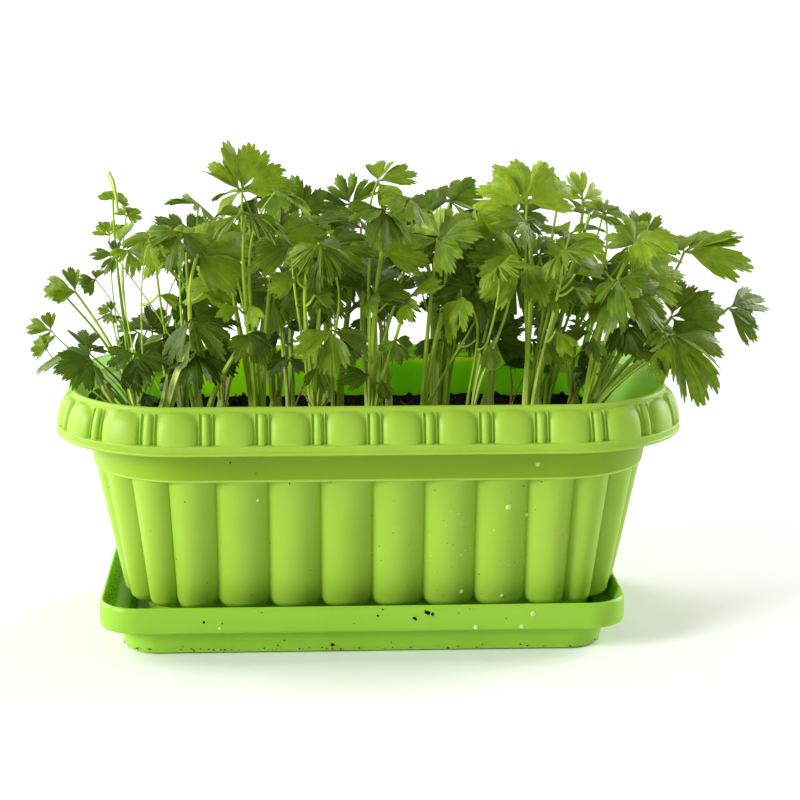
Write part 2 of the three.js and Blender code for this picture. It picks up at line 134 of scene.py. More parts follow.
def tonedShade(material, texture, amount, middle=0):  # a piece's own tone, varied by a texture
    tone = addNode(material, "Attribute", {"attribute_name": "tone"})
    sockets = {0: (texture, "Fac"), 1: amount, 2: middle}
    varied = addNode(material, "Math", {"operation": "MULTIPLY_ADD"}, sockets)
    return addNode(material, "Math", {"operation": "ADD"}, {0: (varied, 0), 1: (tone, "Fac")})


# Injection-moulded polypropylene, satin from an eroded mould: a slightly waxy lime green in faint, wide
# patches, with soft highlights and a few specks of dried soil
def mouldedGreen(name, light, deep, roughness, specks, glow=0.22):
    material, shader = newMaterial(
        name, IOR=1.49, Specular_IOR_Level=0.28, Subsurface_Weight=glow, Subsurface_Scale=0.006,
        Subsurface_Radius=(0.5, 1.0, 0.2),
    )
    place = (addNode(material, "TexCoord"), "Object")
    clouds = addNode(material, "TexNoise", Scale=14, Detail=3, Vector=place)  # patches about 70 mm across
    colour = ramp(material, (clouds, "Fac"), [(0.3, deep), (0.7, light)])
    collarPaintedShade = (addNode(material, "Attribute", {"attribute_name": "collarPaintedShade"}), "Fac")
    # Painted light on the collar: a painted highlight on its ledge, and painted shade, deeper and richer,
    # where the wall stands back under the rim
    value, richness = (
        addNode(material, "MapRange", From_Min=-1, From_Max=1, To_Min=onLedge, To_Max=setBack, Value=collarPaintedShade)
        for onLedge, setBack in ((1.5, 0.5), (0.8, 1.2))
    )
    tinted = addNode(
        material, "HueSaturation",
        Value=(value, "Result"), Saturation=(richness, "Result"), Color=(colour, "Color"),
    )
    # Cells of about 6 mm, of which most stay empty and the others hold a speck
    cells = addNode(material, "TexVoronoi", Scale=180, Randomness=1, Vector=place)
    draws = addNode(material, "SeparateColor", Color=(cells, "Color"))
    chosen = addNode(material, "Math", {"operation": "GREATER_THAN"}, {0: (draws, "Red"), 1: 1 - specks})
    near = addNode(
        material, "MapRange", From_Min=0.13, From_Max=0.09, To_Min=0, To_Max=0.85, Value=(cells, "Distance")
    )
    speck = addNode(material, "Math", {"operation": "MULTIPLY"}, {0: (chosen, 0), 1: (near, "Result")})
    sockets = {0: (speck, 0), 6: (tinted, "Color"), 7: linear("#2A240E")}
    mixed = addNode(material, "Mix", {"data_type": "RGBA"}, sockets)
    rough = addNode(
        material, "MapRange", To_Min=roughness - 0.05, To_Max=roughness + 0.08, Value=(clouds, "Fac")
    )
    # The mould's texture, finer in truth and drawn at about 1 mm so that it shows
    grain = addNode(material, "TexNoise", Scale=900, Detail=2, Vector=place)
    bump = addNode(material, "Bump", Strength=0.12, Distance=0.0003, Height=(grain, "Fac"))
    setSockets(material, shader, {
        "Base Color": (mixed, 2), "Roughness": (rough, "Result"), "Normal": (bump, "Normal"),
    })
    return material


# Moist potting soil: near black, matt and crumbly, with a few brown bits
def pottingSoil():
    material, shader = newMaterial("pottingSoil", Roughness=0.95, IOR=1.3, Specular_IOR_Level=0.1)
    place = (addNode(material, "TexCoord"), "Object")
    # Crumbs of 2 to 3 mm
    crumbs = addNode(material, "TexNoise", Scale=420, Detail=5, Roughness=0.7, Vector=place)
    stops = [(0.3, "#060404"), (0.52, "#0F0B08"), (0.66, "#1F1711"), (0.8, "#45362A")]
    colour = ramp(material, (crumbs, "Fac"), stops)
    bump = addNode(material, "Bump", Strength=0.9, Distance=0.0012, Height=(crumbs, "Fac"))
    setSockets(material, shader, {"Base Color": (colour, "Color"), "Normal": (bump, "Normal")})
    return material


# A leaflet's skin: mid green and slightly waxy above with paler veins that fan out from its foot, greyer and
# matt beneath. The veins follow the leaflet's own map: across it in U, from foot to margin in V
def leafSkin():
    material, shader = newMaterial(
        "celeryLeaf", IOR=1.42, Specular_IOR_Level=0.2, Subsurface_Weight=0.25, Subsurface_Scale=0.0012,
        Subsurface_Radius=(0.7, 1.0, 0.12),
    )
    under = (addNode(material, "Attribute", {"attribute_name": "under"}), "Fac")
    chart = addNode(material, "UVMap", {"uv_map": "leafMap"})
    spot = addNode(material, "SeparateXYZ", Vector=(chart, "UV"))
    place = (addNode(material, "TexCoord"), "Object")
    mottle = addNode(material, "TexNoise", Scale=160, Detail=4, Vector=place)  # mottling of about 6 mm
    stops = [(0.0, "#243604"), (0.3, "#3D5605"), (0.55, "#58720A"), (0.8, "#7C961A"), (1.0, "#A6BC40")]
    # The tone attribute holds each leaf's own tone and also painted light and shade: paler high and far out,
    # darker low down
    skin = ramp(material, (tonedShade(material, mottle, 0.45, -0.22), 0), stops)
    aside = addNode(material, "Math", {"operation": "SUBTRACT"}, {0: (spot, "X"), 1: 0.5})
    run = addNode(material, "Math", {"operation": "ADD"}, {0: (spot, "Y"), 1: 0.3})
    # Veins are lines of constant U, one for each lobe and finer ones between: how far apart, how wide at
    # their edge and at their middle, and how pale
    lines = {}
    for socket, vein in enumerate(((0.14, 0.012, 0.003, 0.2), (0.035, 0.006, 0.001, 0.05))):
        apart, edge, middle, pale = vein
        off = addNode(material, "Math", {"operation": "PINGPONG"}, {0: (aside, 0), 1: apart})
        across = (addNode(material, "Math", {"operation": "MULTIPLY"}, {0: (off, 0), 1: (run, 0)}), 0)
        line = addNode(
            material, "MapRange", From_Min=edge, From_Max=middle, To_Min=0, To_Max=pale, Value=across
        )
        lines[socket] = (line, "Result")
    veins = addNode(material, "Math", {"operation": "MAXIMUM"}, lines)
    sockets = {0: (veins, 0), 6: (skin, "Color"), 7: linear("#9AB440")}
    veined = addNode(material, "Mix", {"data_type": "RGBA"}, sockets)
    beneath = addNode(material, "Math", {"operation": "MULTIPLY"}, {0: under, 1: 0.34})
    sockets = {0: (beneath, 0), 6: (veined, 2), 7: linear("#86A04A")}
    whole = addNode(material, "Mix", {"data_type": "RGBA"}, sockets)
    rough = addNode(material, "MapRange", To_Min=0.4, To_Max=0.62, Value=under)
    # The blade's puckers between its veins, 3 to 4 mm
    puckers = addNode(material, "TexNoise", Scale=260, Detail=1, Vector=place)
    sockets = {0: (veins, 0), 1: -0.3, 2: (puckers, "Fac")}
    relief = addNode(material, "Math", {"operation": "MULTIPLY_ADD"}, sockets)
    bump = addNode(material, "Bump", Strength=0.6, Distance=0.0009, Height=(relief, 0))
    setSockets(material, shader, {
        "Base Color": (whole, 2), "Roughness": (rough, "Result"), "Normal": (bump, "Normal"),
    })
    return material


# A celery stalk: smooth, juicy and ribbed, pale green, darker in streaks along it
def stalkSkin():
    material, shader = newMaterial(
        "celeryStalk", Roughness=0.42, IOR=1.4, Specular_IOR_Level=0.3, Subsurface_Weight=0.3,
        Subsurface_Scale=0.002, Subsurface_Radius=(0.5, 1.0, 0.2),
    )
    place = (addNode(material, "TexCoord"), "Object")
    stretched = addNode(material, "Mapping", Scale=(1, 1, 0.12), Vector=place)
    # Streaks 2 mm wide and some 15 mm long
    streaks = addNode(material, "TexNoise", Scale=500, Detail=2, Vector=(stretched, "Vector"))
    stops = [(0.0, "#425608"), (0.35, "#678212"), (0.65, "#8AA628"), (0.88, "#AEC452"), (1.0, "#D3D99A")]
    colour = ramp(material, (tonedShade(material, streaks, 0.4, -0.2), 0), stops)
    setSockets(material, shader, {"Base Color": (colour, "Color")})
    return material


potPlastic = mouldedGreen("mouldedPolypropylenePot", "#98BC3C", "#8FB332", 0.42, 0.03)
# Its inside: light that comes through the wall glows in it, and its brighter, more saturated green than the
# outside's is painted glow
potInsidePaintedGlow = mouldedGreen("mouldedPolypropyleneInsidePaintedGlow", "#A6E00E", "#9CD80C", 0.4, 0.05, glow=1)
trayPlastic = mouldedGreen("mouldedPolypropyleneTray", "#8EBF34", "#85B72C", 0.3, 0.06)
soilFinish = pottingSoil()
leafFinish = leafSkin()
stalkFinish = stalkSkin()
print("materials made")


def select(piece):
    bpy.ops.object.select_all(action="DESELECT")
    piece.select_set(True)
    bpy.context.view_layer.objects.active = piece


# Rings of points in millimetres, first to last, as one closed skin: a grid is added, its vertices are pulled
# to the rings, its two edges are merged and its open ends filled
def wrap(name, rings):
    columns = len(rings[0])
    bpy.ops.object.select_all(action="DESELECT")
    bpy.ops.mesh.primitive_grid_add(x_subdivisions=columns, y_subdivisions=len(rings) - 1, size=1)
    piece = bpy.context.object
    piece.name = piece.data.name = name
    flat = [c * mm for ring in rings for p in (*ring, ring[0]) for c in p]
    piece.data.vertices.foreach_set("co", flat)
    piece.data.update()
    bpy.ops.object.mode_set(mode="EDIT")
    bpy.ops.mesh.select_all(action="SELECT")
    bpy.ops.mesh.remove_doubles(threshold=0.000001)
    bpy.ops.mesh.fill_holes(sides=0)
    bpy.ops.mesh.select_all(action="SELECT")
    bpy.ops.mesh.normals_make_consistent(inside=False)
    bpy.ops.object.mode_set(mode="OBJECT")
    while piece.data.uv_layers:
        piece.data.uv_layers.remove(piece.data.uv_layers[0])
    return piece


def newPiece(name, points, faces):  # an object from points in millimetres and faces
    data = bpy.data.meshes.new(name)
    data.from_pydata([tuple(c * mm for c in p) for p in points], [], faces)
    piece = bpy.data.objects.new(name, data)
    bpy.context.collection.objects.link(piece)
    return piece


def smooth(piece, degrees):
    select(piece)
    bpy.ops.object.shade_smooth_by_angle(angle=math.radians(degrees))


def dress(piece, node, slot, *finishes):  # a finished piece stands for its CAD node and takes its finish
    piece.data.materials.clear()  # a cut leaves an empty place for a finish behind
    for finish in finishes:
        piece.data.materials.append(finish)
    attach(piece, "root")
    if node:
        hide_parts(node)


# The outline that the trough's rings share, counted in flutes: 0 to 7 runs along the straight front, 7 to 15
# round the right end, 15 to 22 along the back and 22 to 30 round the left end
outline = {"flutes": 30, "front": 7}


def outlinePoint(place, shape):  # a place's x and y on a shape's outline, and the way out of it
    half = outline["flutes"] / 2
    turned = place >= half
    local = place - half if turned else place
    corner = shape["corner"]
    straightX, straightY = shape["halfX"] - corner, shape["halfY"] - corner
    arc = corner * math.pi / 2
    if local <= outline["front"]:
        x, y, nx, ny = -straightX + 2 * straightX * local / outline["front"], -shape["halfY"], 0, -1
    else:
        run = (local - outline["front"]) / (half - outline["front"]) * (2 * arc + 2 * straightY)
        if run < arc or run > arc + 2 * straightY:
            angle = run / corner if run < arc else (run - 2 * straightY) / corner
            nx, ny = math.sin(angle), -math.cos(angle)
            x = straightX + corner * nx
            y = (-straightY if run < arc else straightY) + corner * ny
        else:
            x, y, nx, ny = shape["halfX"], run - arc - straightY, 1, 0
    return (-x, -y, -nx, -ny) if turned else (x, y, nx, ny)


def beyond(x, y, shape):  # how far a point lies outside a shape's outline, below 0 within it
    dx = max(abs(x) - (shape["halfX"] - shape["corner"]), 0)
    dy = max(abs(y) - (shape["halfY"] - shape["corner"]), 0)
    return math.sqrt(dx * dx + dy * dy) - shape["corner"]


def inset(shape, by):
    return {"halfX": shape["halfX"] - by, "halfY": shape["halfY"] - by, "corner": shape["corner"] - by}


trough = {
    "rim": {"halfX": 200, "halfY": 110, "corner": 81},
    "body": {"halfX": 176.2, "halfY": 84.6, "corner": 62.2},
    "bodyTop": 113.5,
    "taper": 0.2,
    "pitch": 34,  # from one flute, or one egg, to the next along the front
    "fluteDepth": 7,
    "fluteEnd": {"from": 23.5, "corner": 4.5, "round": 6.5, "depth": 12.5},  # each flute's rounded lower end
    "eggZone": {"low": 142.8, "high": 160.9, "inset": 4.3, "slope": 5.7, "bend": 1.6},
    "egg": {"halfWidth": 11.6, "relief": 3.7, "top": 161.6, "shoulder": 5, "round": 6.5},
    "bar": {"halfWidth": 2.6, "relief": 2.6, "top": 160.7},
    "line": {"centre": 4.1, "halfWidth": 0.44, "relief": 1.5, "top": 160.3},
    # Columns within a flute's width, as millimetres from the middle of the bar
    "columns": (0, 0.9, 1.7, 2.3, 2.6, 3.66, 4.1, 4.54, 5.1, 5.4, 5.65, 6.2, 7.3, 9, 11.2, 14, 17),
    "pads": {"radius": 7, "alongX": (-120, 0, 120), "alongY": (-36, 36), "from": 3, "to": 6.6},
    "drains": {"radius": 5, "alongX": (-75, 0, 75), "alongY": (-20, 20), "from": 5, "to": 10},
    # The section, from the floor's underside up the outside and down inside: height and how far each line
    # lies within the tapering body, or for the rim's parts within the rim
    "foot": [(6, 13.4), (6.2, 12.5), (6.9, 11.7), (8.2, 11.4), (12, 11.7), (23, 12.5)],
    "flutes": (23.5, 23.7, 24.2, 25, 26, 27, 28, 29, 30, 31.5, 33, 34.5, 60, 88, 113.3),  # heights alone
    "collar": [
        (113.5, 0.2), (113.55, -0.3), (113.9, -0.7), (114.6, -0.8), (115.4, -0.8), (135, -0.5), (157.3, -0.1),
    ],
    "underRim": [(157.5, 12.4), (156.5, 11.6), (144.5, 7), (137, 2.9)],
    "rimEdge": [(136.2, 2.5), (135.95, 1.6), (136.1, 0.7), (136.5, 0.2), (137, 0), (137.6, 0.1)],
    "band": [(138, 0.5), (138.5, 0.95), (141, 0.75), (141.5, 0.5), (141.9, 0.45), (142.3, 0.7)],
    "underEggs": {"drop": 0.1, "out": 1},  # the ledge that the eggs stand on
    # The eggs' rows, as shares of their zone's height
    "eggRows": (0, 0.08, 0.2, 0.34, 0.46, 0.56, 0.65, 0.73, 0.8, 0.86, 0.905, 0.94, 0.965, 0.985, 1),
    "lip": [
        (161.4, 10), (162.2, 9.95), (163, 10.05), (163.6, 10.3), (164.15, 10.8), (164.45, 11.5),
        (164.45, 12), (164, 12.9), (163, 13.5), (155, 17.2),
    ],
    "within": [(146.5, 2.6), (120, 3), (112, 9.8), (36, 9.8), (21, 15), (9.6, 15.2), (9, 16)],
    "sharp": 38,  # edges above this many degrees stay sharp
    # Where the inside that shows begins, where its lip does, and how far each lies within the outline
    "inside": {"from": 113, "lipFrom": 157, "lipInset": 12.5, "wall": 1.2},
    # The collar's painted light: a painted highlight on its ledge, painted shade deeper above, but less so at
    # its left end, open to the light
    "shade": {
        "ledge": 113.4, "paler": -0.35, "from": 115, "to": 138, "deeper": 0.55,
        "openX": -178, "openWidth": 80, "least": 0.2, "inset": 4,
    },
}


def troughShares():
    near = [v / trough["pitch"] for v in trough["columns"]]
    return near + [1 - share for share in reversed(near[1:-1])]


def bodyAt(z):
    return inset(trough["body"], (trough["bodyTop"] - z) * trough["taper"])


def troughRing(z, shape, outAt):
    ring = []
    shares = troughShares()
    outs = [outAt(share) for share in shares]
    for k in range(outline["flutes"]):
        for share, out in zip(shares, outs):
            x, y, nx, ny = outlinePoint((k + 0.5 + share) % outline["flutes"], shape)
            ring.append((x + nx * out, y + ny * out, z))
    return ring


def bulge(share):  # the round of a flute, from 0 in its valleys to 1 on its crest
    depth, half = trough["fluteDepth"], trough["pitch"] / 2
    radius = (half * half + depth * depth) / (2 * depth)
    off = (share - 0.5) * trough["pitch"]
    return (math.sqrt(radius * radius - off * off) - (radius - depth)) / depth


def fluteRing(z):
    end = trough["fluteEnd"]

    def out(share):
        full = end["depth"] - trough["fluteDepth"] * (1 - bulge(share))
        rise = (z - end["from"] - end["corner"] * abs(2 * share - 1) ** 4) / end["round"]
        return full * math.sqrt(1 - (1 - min(max(rise, 0), 1)) ** 2) - end["depth"]

    return troughRing(z, bodyAt(z), out)


def moulding(share, z):  # the eggs, with a rounded bar and two thin lines between them
    off = min(share, 1 - share) * trough["pitch"]
    egg, bar, line = trough["egg"], trough["bar"], trough["line"]
    across = min(1, (trough["pitch"] / 2 - off) / egg["halfWidth"])
    top = egg["top"] - egg["shoulder"] * across ** 3
    cap = max(0, (z - top) / egg["round"] + 1)
    out = egg["relief"] * math.sqrt((1 - across ** 2.4) * max(0, 1 - cap * cap))
    cap = max(0, (z - bar["top"]) / bar["halfWidth"] + 1)
    out = max(out, bar["relief"] * math.sqrt(max(0, 1 - (off / bar["halfWidth"]) ** 2 - cap * cap)))
    if z < line["top"]:
        out = max(out, line["relief"] * (1 - abs(off - line["centre"]) / line["halfWidth"]))
    return out


def eggRing(t):
    zone = trough["eggZone"]
    z = zone["low"] + (zone["high"] - zone["low"]) * t
    shape = inset(trough["rim"], zone["inset"] + zone["slope"] * t ** zone["bend"])
    return troughRing(z, shape, lambda share: moulding(share, z))


def makeTrough():
    rim, ledge, low = trough["rim"], trough["underEggs"], trough["eggZone"]["low"]
    plain = lambda share: 0
    body = lambda part: [troughRing(z, inset(bodyAt(z), by), plain) for z, by in trough[part]]
    edge = lambda part: [troughRing(z, inset(rim, by), plain) for z, by in trough[part]]
    rings = body("foot") + [fluteRing(z) for z in trough["flutes"]] + body("collar")
    rings += edge("underRim") + edge("rimEdge") + edge("band")
    stands = lambda share: max(moulding(share, low), ledge["out"])
    rings.append(troughRing(low - ledge["drop"], inset(rim, trough["eggZone"]["inset"]), stands))
    rings += [eggRing(t) for t in trough["eggRows"]] + edge("lip") + body("within")
    piece = wrap("fluted_trough", rings)
    finishTroughFloor(piece)
    smooth(piece, trough["sharp"])
    dress(piece, "trough", "pot", potPlastic, potInsidePaintedGlow)
    finishTroughInside(piece)
    paintCollarShade(piece)


def finishTroughInside(piece):
    inside = trough["inside"]
    lip = inset(trough["rim"], inside["lipInset"])
    for face in piece.data.polygons:
        x, y, z = (c / mm for c in face.center)
        inward = face.normal.x * x + face.normal.y * y < 0
        isLip = z >= inside["lipFrom"]
        behind = beyond(x, y, lip) < 0 if isLip else beyond(x, y, bodyAt(z)) < -inside["wall"]
        face.material_index = int(inward and z > inside["from"] and behind)


def paintCollarShade(piece):
    shade = trough["shade"]
    under = inset(trough["rim"], shade["inset"])
    # Painted shade under the rim and a painted highlight on the ledge, which the plastic's colour takes from
    # this attribute
    collarPaintedShade = piece.data.attributes.new("collarPaintedShade", "FLOAT", "POINT")
    for vertex in piece.data.vertices:
        x, y, z = (c / mm for c in vertex.co)
        if z >= shade["to"] or z <= shade["ledge"] or beyond(x, y, under) >= 0:
            continue
        lit = min(max((x - shade["openX"]) / shade["openWidth"], shade["least"]), 1)
        collarPaintedShade.data[vertex.index].value = shade["deeper"] * lit if z > shade["from"] else shade["paler"]


def cylinders(name, places, radius, low, high, sides=24):  # several plain cylinders in one object
    made = []
    for x, y in places:
        bpy.ops.object.select_all(action="DESELECT")
        bpy.ops.mesh.primitive_cylinder_add(
            vertices=sides, radius=radius * mm, depth=(high - low) * mm,
            location=(x * mm, y * mm, (low + high) / 2 * mm),
        )
        made.append(bpy.context.object)
    bpy.ops.object.select_all(action="DESELECT")
    for one in made:
        one.select_set(True)
    bpy.ops.object.join()
    joined = bpy.context.object
    bpy.ops.object.transform_apply()
    joined.name = name
    return joined


def combine(piece, other, operation):
    modifier = piece.modifiers.new(operation.lower(), "BOOLEAN")
    modifier.operation = operation
    modifier.object = other
    modifier.solver = "MANIFOLD"
    select(piece)
    bpy.ops.object.modifier_apply(modifier=modifier.name)
    bpy.data.objects.remove(other)


def finishTroughFloor(piece):  # low pads that keep the floor off the tray, and drain holes
    for name, operation in (("pads", "UNION"), ("drains", "DIFFERENCE")):
        one = trough[name]
        places = [(x, y) for x in one["alongX"] for y in one["alongY"]]
        combine(piece, cylinders(name, places, one["radius"], one["from"], one["to"]), operation)


makeTrough()
print("trough made")

tray = {
    "shiftX": -5.2,
    "lip": {"halfX": 167.8, "halfY": 87.4, "corner": 26},
    "base": {"halfX": 153.5, "halfY": 77.5, "corner": 24},
    "cornerSteps": 14,
    "sharp": 38,
    # Height and inset of each line of the section, from the foot up the outside and down inside
    "section": [
        (0, "base", 4), (0.05, "base", 2.4), (0.7, "base", 0.9), (2, "base", 0.25), (4, "base", 0),
        (9, "base", -1), (15.1, "base", -1.9), (15.8, "base", -2.5), (16.05, "base", -4.5),
        (16.05, "lip", 1.7), (16.4, "lip", 0.8), (17.2, "lip", 0.25), (18.6, "lip", 0), (29, "lip", 0),
        (31, "lip", 0.25), (32.2, "lip", 0.8), (32.9, "lip", 1.4), (33, "lip", 1.9), (32.8, "lip", 2.4),
        (32, "lip", 2.7), (30, "lip", 3.2), (20.5, "lip", 6.3), (19.4, "lip", 7.2), (18.8, "lip", 9),
        (18.4, "base", 1), (17.8, "base", 2.2), (16.5, "base", 2.8), (5, "base", 3.3), (3.6, "base", 4),
        (3, "base", 6),
    ],
}


def trayRing(z, shape):
    ring = []
    corner = shape["corner"]
    for signX, signY, start in ((1, -1, -90), (1, 1, 0), (-1, 1, 90), (-1, -1, 180)):
        for i in range(tray["cornerSteps"] + 1):
            angle = math.radians(start + 90 * i / tray["cornerSteps"])
            x = signX * (shape["halfX"] - corner) + corner * math.cos(angle) + tray["shiftX"]
            ring.append((x, signY * (shape["halfY"] - corner) + corner * math.sin(angle), z))
    return ring


def makeTray():
    piece = wrap("drip_tray_dish", [trayRing(z, inset(tray[part], by)) for z, part, by in tray["section"]])
    smooth(piece, tray["sharp"])
    dress(piece, "drip_tray", "tray", trayPlastic)


makeTray()
print("tray made")

ground = {
    "level": 131,
    "crown": 1.8,  # how much higher it lies in the middle
    "gap": 0.4,
    "wall": 2.6,
    "around": 360,
    "rings": 58,
    "middle": 0.02,  # the innermost ring's share of the outermost
}
# The trough's inside below the soil: height, and how far it lies inside the tapering body
hollow = [(9, 16), (21, 15), (36, 9.8), (112, 9.8), (120, 3)]


def groundHeight(x, y, out):  # out is 1 at the trough's wall and 0 in the middle
    rise = ground["crown"] * (1 - out ** 3)
    lumps = noise.noise((x * 0.06, y * 0.06, 2.7)) * 1.6  # 17 mm wide
    crumbs = noise.noise((x * 0.3, y * 0.3, 5.1)) * 0.9 + noise.noise((x * 0.8, y * 0.8, 9.4)) * 0.45
    return ground["level"] + rise + lumps + crumbs


def groundRing(z, shape):
    places = [outline["flutes"] * i / ground["around"] for i in range(ground["around"])]
    return [(*outlinePoint(place, shape)[:2], z) for place in places]


def makeSoil():
    rings = [
        groundRing(z + (ground["gap"] if i == 0 else 0), inset(bodyAt(z), by + ground["gap"] + 0.2))
        for i, (z, by) in enumerate(hollow)
    ]
    edge = inset(bodyAt(ground["level"]), ground["wall"] + ground["gap"])
    rings.append(groundRing(ground["level"] - 3, edge))
    for k in range(ground["rings"]):
        out = 1 - k / ground["rings"]
        wide = ground["middle"] + (1 - ground["middle"]) * out
        ring = [(x * wide, y * wide) for x, y, _ in groundRing(0, edge)]
        rings.append([(x, y, groundHeight(x, y, out)) for x, y in ring])
    piece = wrap("potting_soil", rings)
    smooth(piece, 60)
    dress(piece, "soil", "soil", soilFinish)


makeSoil()
print("soil made")

# The crop grows by the same rule and the same seeded draws as its solids, so that each leaf stands where its
# solid does. Plain tuples keep the sums the same
stalk = {
    "fromMiddle": 2.4,  # how far from its plant's middle a stalk starts
    "start": 7,  # and how far above the soil's level
    "lean": 0.14, "rise": 0.42, "arrive": 0.3,  # its curve, as shares of its width and height
    "samples": 27,
    "foot": 2.1, "head": 0.85, "taper": 0.85, "steps": 13, "sides": 10, "rings": (0, 0.4, 0.8, 1),
    "clearOfBlade": 3.5, "awayFromBlade": 0.72,
    "sizes": (0.6, 0.7, 0.8, 0.95, 1.25), "thinned": 0.72,  # thinned at the crop's left end
    "bow": (2, 7),  # how far a stalk there arches to a side
}
leaflets = ((-1, 0.86), (0, 1), (1, 0.86))  # each leaflet's swing and its share of the leaf's length
rows = (
    (-52, (-142, -108, -72, -38, -4, 30, 62, 98, 132)),
    (-4, (-152, -120, -88, -54, -20, 14, 48, 82, 116, 150)),
    (44, (-134, -98, -62, -28, 8, 44, 80, 114, 142)),
)
# The leaves that stand out of the crop: foot x and y, then where the leaflets meet: x, y, z, then the turn of
# the middle leaflet in degrees and its length
leading = (
    (-72, -52, -83, -30, 299, 88, 40), (98, -52, 98, -58, 292, 92, 40), (-152, -4, -166, 0, 262, 100, 28),
    (132, -4, 216, -10, 247, -12, 44), (116, -4, 170, -20, 250, 5, 40), (150, -4, 234, -10, 208, 27, 38),
    (150, -4, 193, -45, 206, 20, 40), (132, -52, 165, -50, 236, 0, 36), (62, -52, 86, -54, 242, 165, 30),
    (98, -52, 122, -62, 248, 70, 24), (116, -4, 140, 0, 290, 100, 26), (-152, -4, -204, -10, 196, 165, 24),
    (-152, -4, -178, -40, 188, 178, 32), (-142, -52, -172, -64, 182, 205, 26),
    (-142, -52, -186, -20, 218, 160, 22), (-108, -52, -160, -34, 248, 165, 24),
    (-120, -4, -127, -20, 244, 140, 34), (-134, 44, -118, 12, 262, 115, 32), (-98, 44, -44, 4, 270, 130, 32),
    (-20, -4, -11, 10, 278, 100, 34), (14, -4, 16, 0, 293, 60, 36), (48, -4, 54, 10, 276, 88, 30),
    (116, -4, 154, 12, 268, 68, 28), (114, 44, 180, 18, 246, 80, 30), (-62, -52, -58, -50, 262, 40, 34),
    (-108, -52, -112, -62, 212, -60, 34), (-38, -52, -22, -62, 238, 150, 36), (-4, -52, 6, -60, 252, 60, 34),
    (30, -52, 44, -58, 262, 120, 36), (30, -52, 66, -62, 232, 200, 36), (-54, -4, -62, -36, 222, 240, 34),
    (82, -4, 72, -20, 214, 250, 36), (-4, -52, 14, -72, 200, -80, 24),
)
# Rounds of growth over every crown: height, reach and length
rounds = ((104, 22, 38), (78, 34, 35), (126, 16, 34), (52, 30, 30), (92, 40, 32))
mostLeaves = 67
mostPerPlant = 5
# How a round's leaves vary: lower toward the crop's ends, and by how much in reach, height, turn and length
ruled = {
    "arch": 0.25, "archWidth": 170, "nearest": 0.6, "farther": 0.5, "depth": 0.8, "outward": 0.1,
    "height": 12, "turn": 35, "length": 5,
}
# How each leaf is held and shaped, as the middle of a value and how far it strays to either side
held = {
    "side": (0, 0.42), "lean": (-1.05, 0.5), "opening": (1.2, 0.1), "cup": (0.1, 0.22), "droop": (0.16, 0.14),
}
clearance = {"first": 5.5, "filling": 3.6}  # between leaves and stalks
# How a leaf that finds no room is moved, turned and lifted
tries = (
    (0, 0, 0), (7, 0, 0), (-7, 0, 0), (0, 14, 0), (0, -14, 0), (13, 10, 4), (-13, -10, 4), (6, -26, 8),
    (-6, 26, 8), (19, 18, -6), (-19, -18, -6), (0, 40, 10), (0, -40, -8), (26, 0, 12), (-26, 0, 12),
    (10, 60, -12),
)
# The points of a leaflet that are kept clear of others, as reach and angle
sampleReach = (0.3, 0.55, 0.78, 0.98)
sampleAngle = (-0.5, -0.25, 0, 0.25, 0.5)

draw = 20417


def nextRandom():
    global draw
    draw = (draw * 1664525 + 1013904223) % 4294967296
    return draw / 4294967296


def spread(amount):
    return (nextRandom() * 2 - 1) * amount


def between(low, high):
    return low + (high - low) * nextRandom()


def strayed(ranges):
    return {key: middle + spread(either) for key, (middle, either) in ranges.items()}


def along(start, direction, distance):
    return tuple(s + d * distance for s, d in zip(start, direction))


def dot(a, b):
    return a[0] * b[0] + a[1] * b[1] + a[2] * b[2]


def crossed(a, b):
    return (a[1] * b[2] - a[2] * b[1], a[2] * b[0] - a[0] * b[2], a[0] * b[1] - a[1] * b[0])


def unit(a):
    length = math.sqrt(dot(a, a)) or 1
    return (a[0] / length, a[1] / length, a[2] / length)


def leafFrame(leaf):  # a leaf's face, right and up, and the turn of its middle leaflet
    face = unit((leaf["side"], leaf["lean"], 1))
    right = unit(along((1, 0, 0), face, -face[0]))
    return face, right, crossed(face, right), math.radians(leaf["turn"])


def bladePoint(leaf, axes, leaflet, reach, angle):
    face, right, up, turn = axes
    swing, share = leaflet
    length = leaf["length"] * share
    direction = turn + swing * leaf["opening"] + angle
    ahead, aside = reach * math.cos(angle), reach * math.sin(angle)
    lift = length * (leaf["cup"] * aside * aside - leaf["droop"] * ahead * ahead)
    point = along(leaf["at"], right, reach * length * math.cos(direction))
    point = along(point, up, reach * length * math.sin(direction))
    return along(point, face, lift)


def stalkCurve(leaf, plant):  # the four control points of a stalk that meets its leaf from beneath
    start = (plant["x"] + leaf["offset"][0], plant["y"] + leaf["offset"][1], ground["level"] + stalk["start"])
    end = leaf["at"]
    height = end[2] - start[2]
    face, right, up, turn = leafFrame(leaf)
    middle = along(along((0, 0, 0), right, math.cos(turn)), up, math.sin(turn))
    arrive = unit(along(along((0, 0, 0.5), middle, 0.5), face, 0.5))
    wide, rise = stalk["lean"], stalk["rise"]
    lean = ((end[0] - start[0]) * wide, (end[1] - start[1]) * wide, height * rise)
    return start, along(start, lean, 1), along(end, arrive, -stalk["arrive"] * height), end


def curvePoint(curve, t):
    k = ((1 - t) ** 3, 3 * t * (1 - t) ** 2, 3 * t * t * (1 - t), t ** 3)
    return tuple(sum(w * p[axis] for w, p in zip(k, curve)) for axis in range(3))


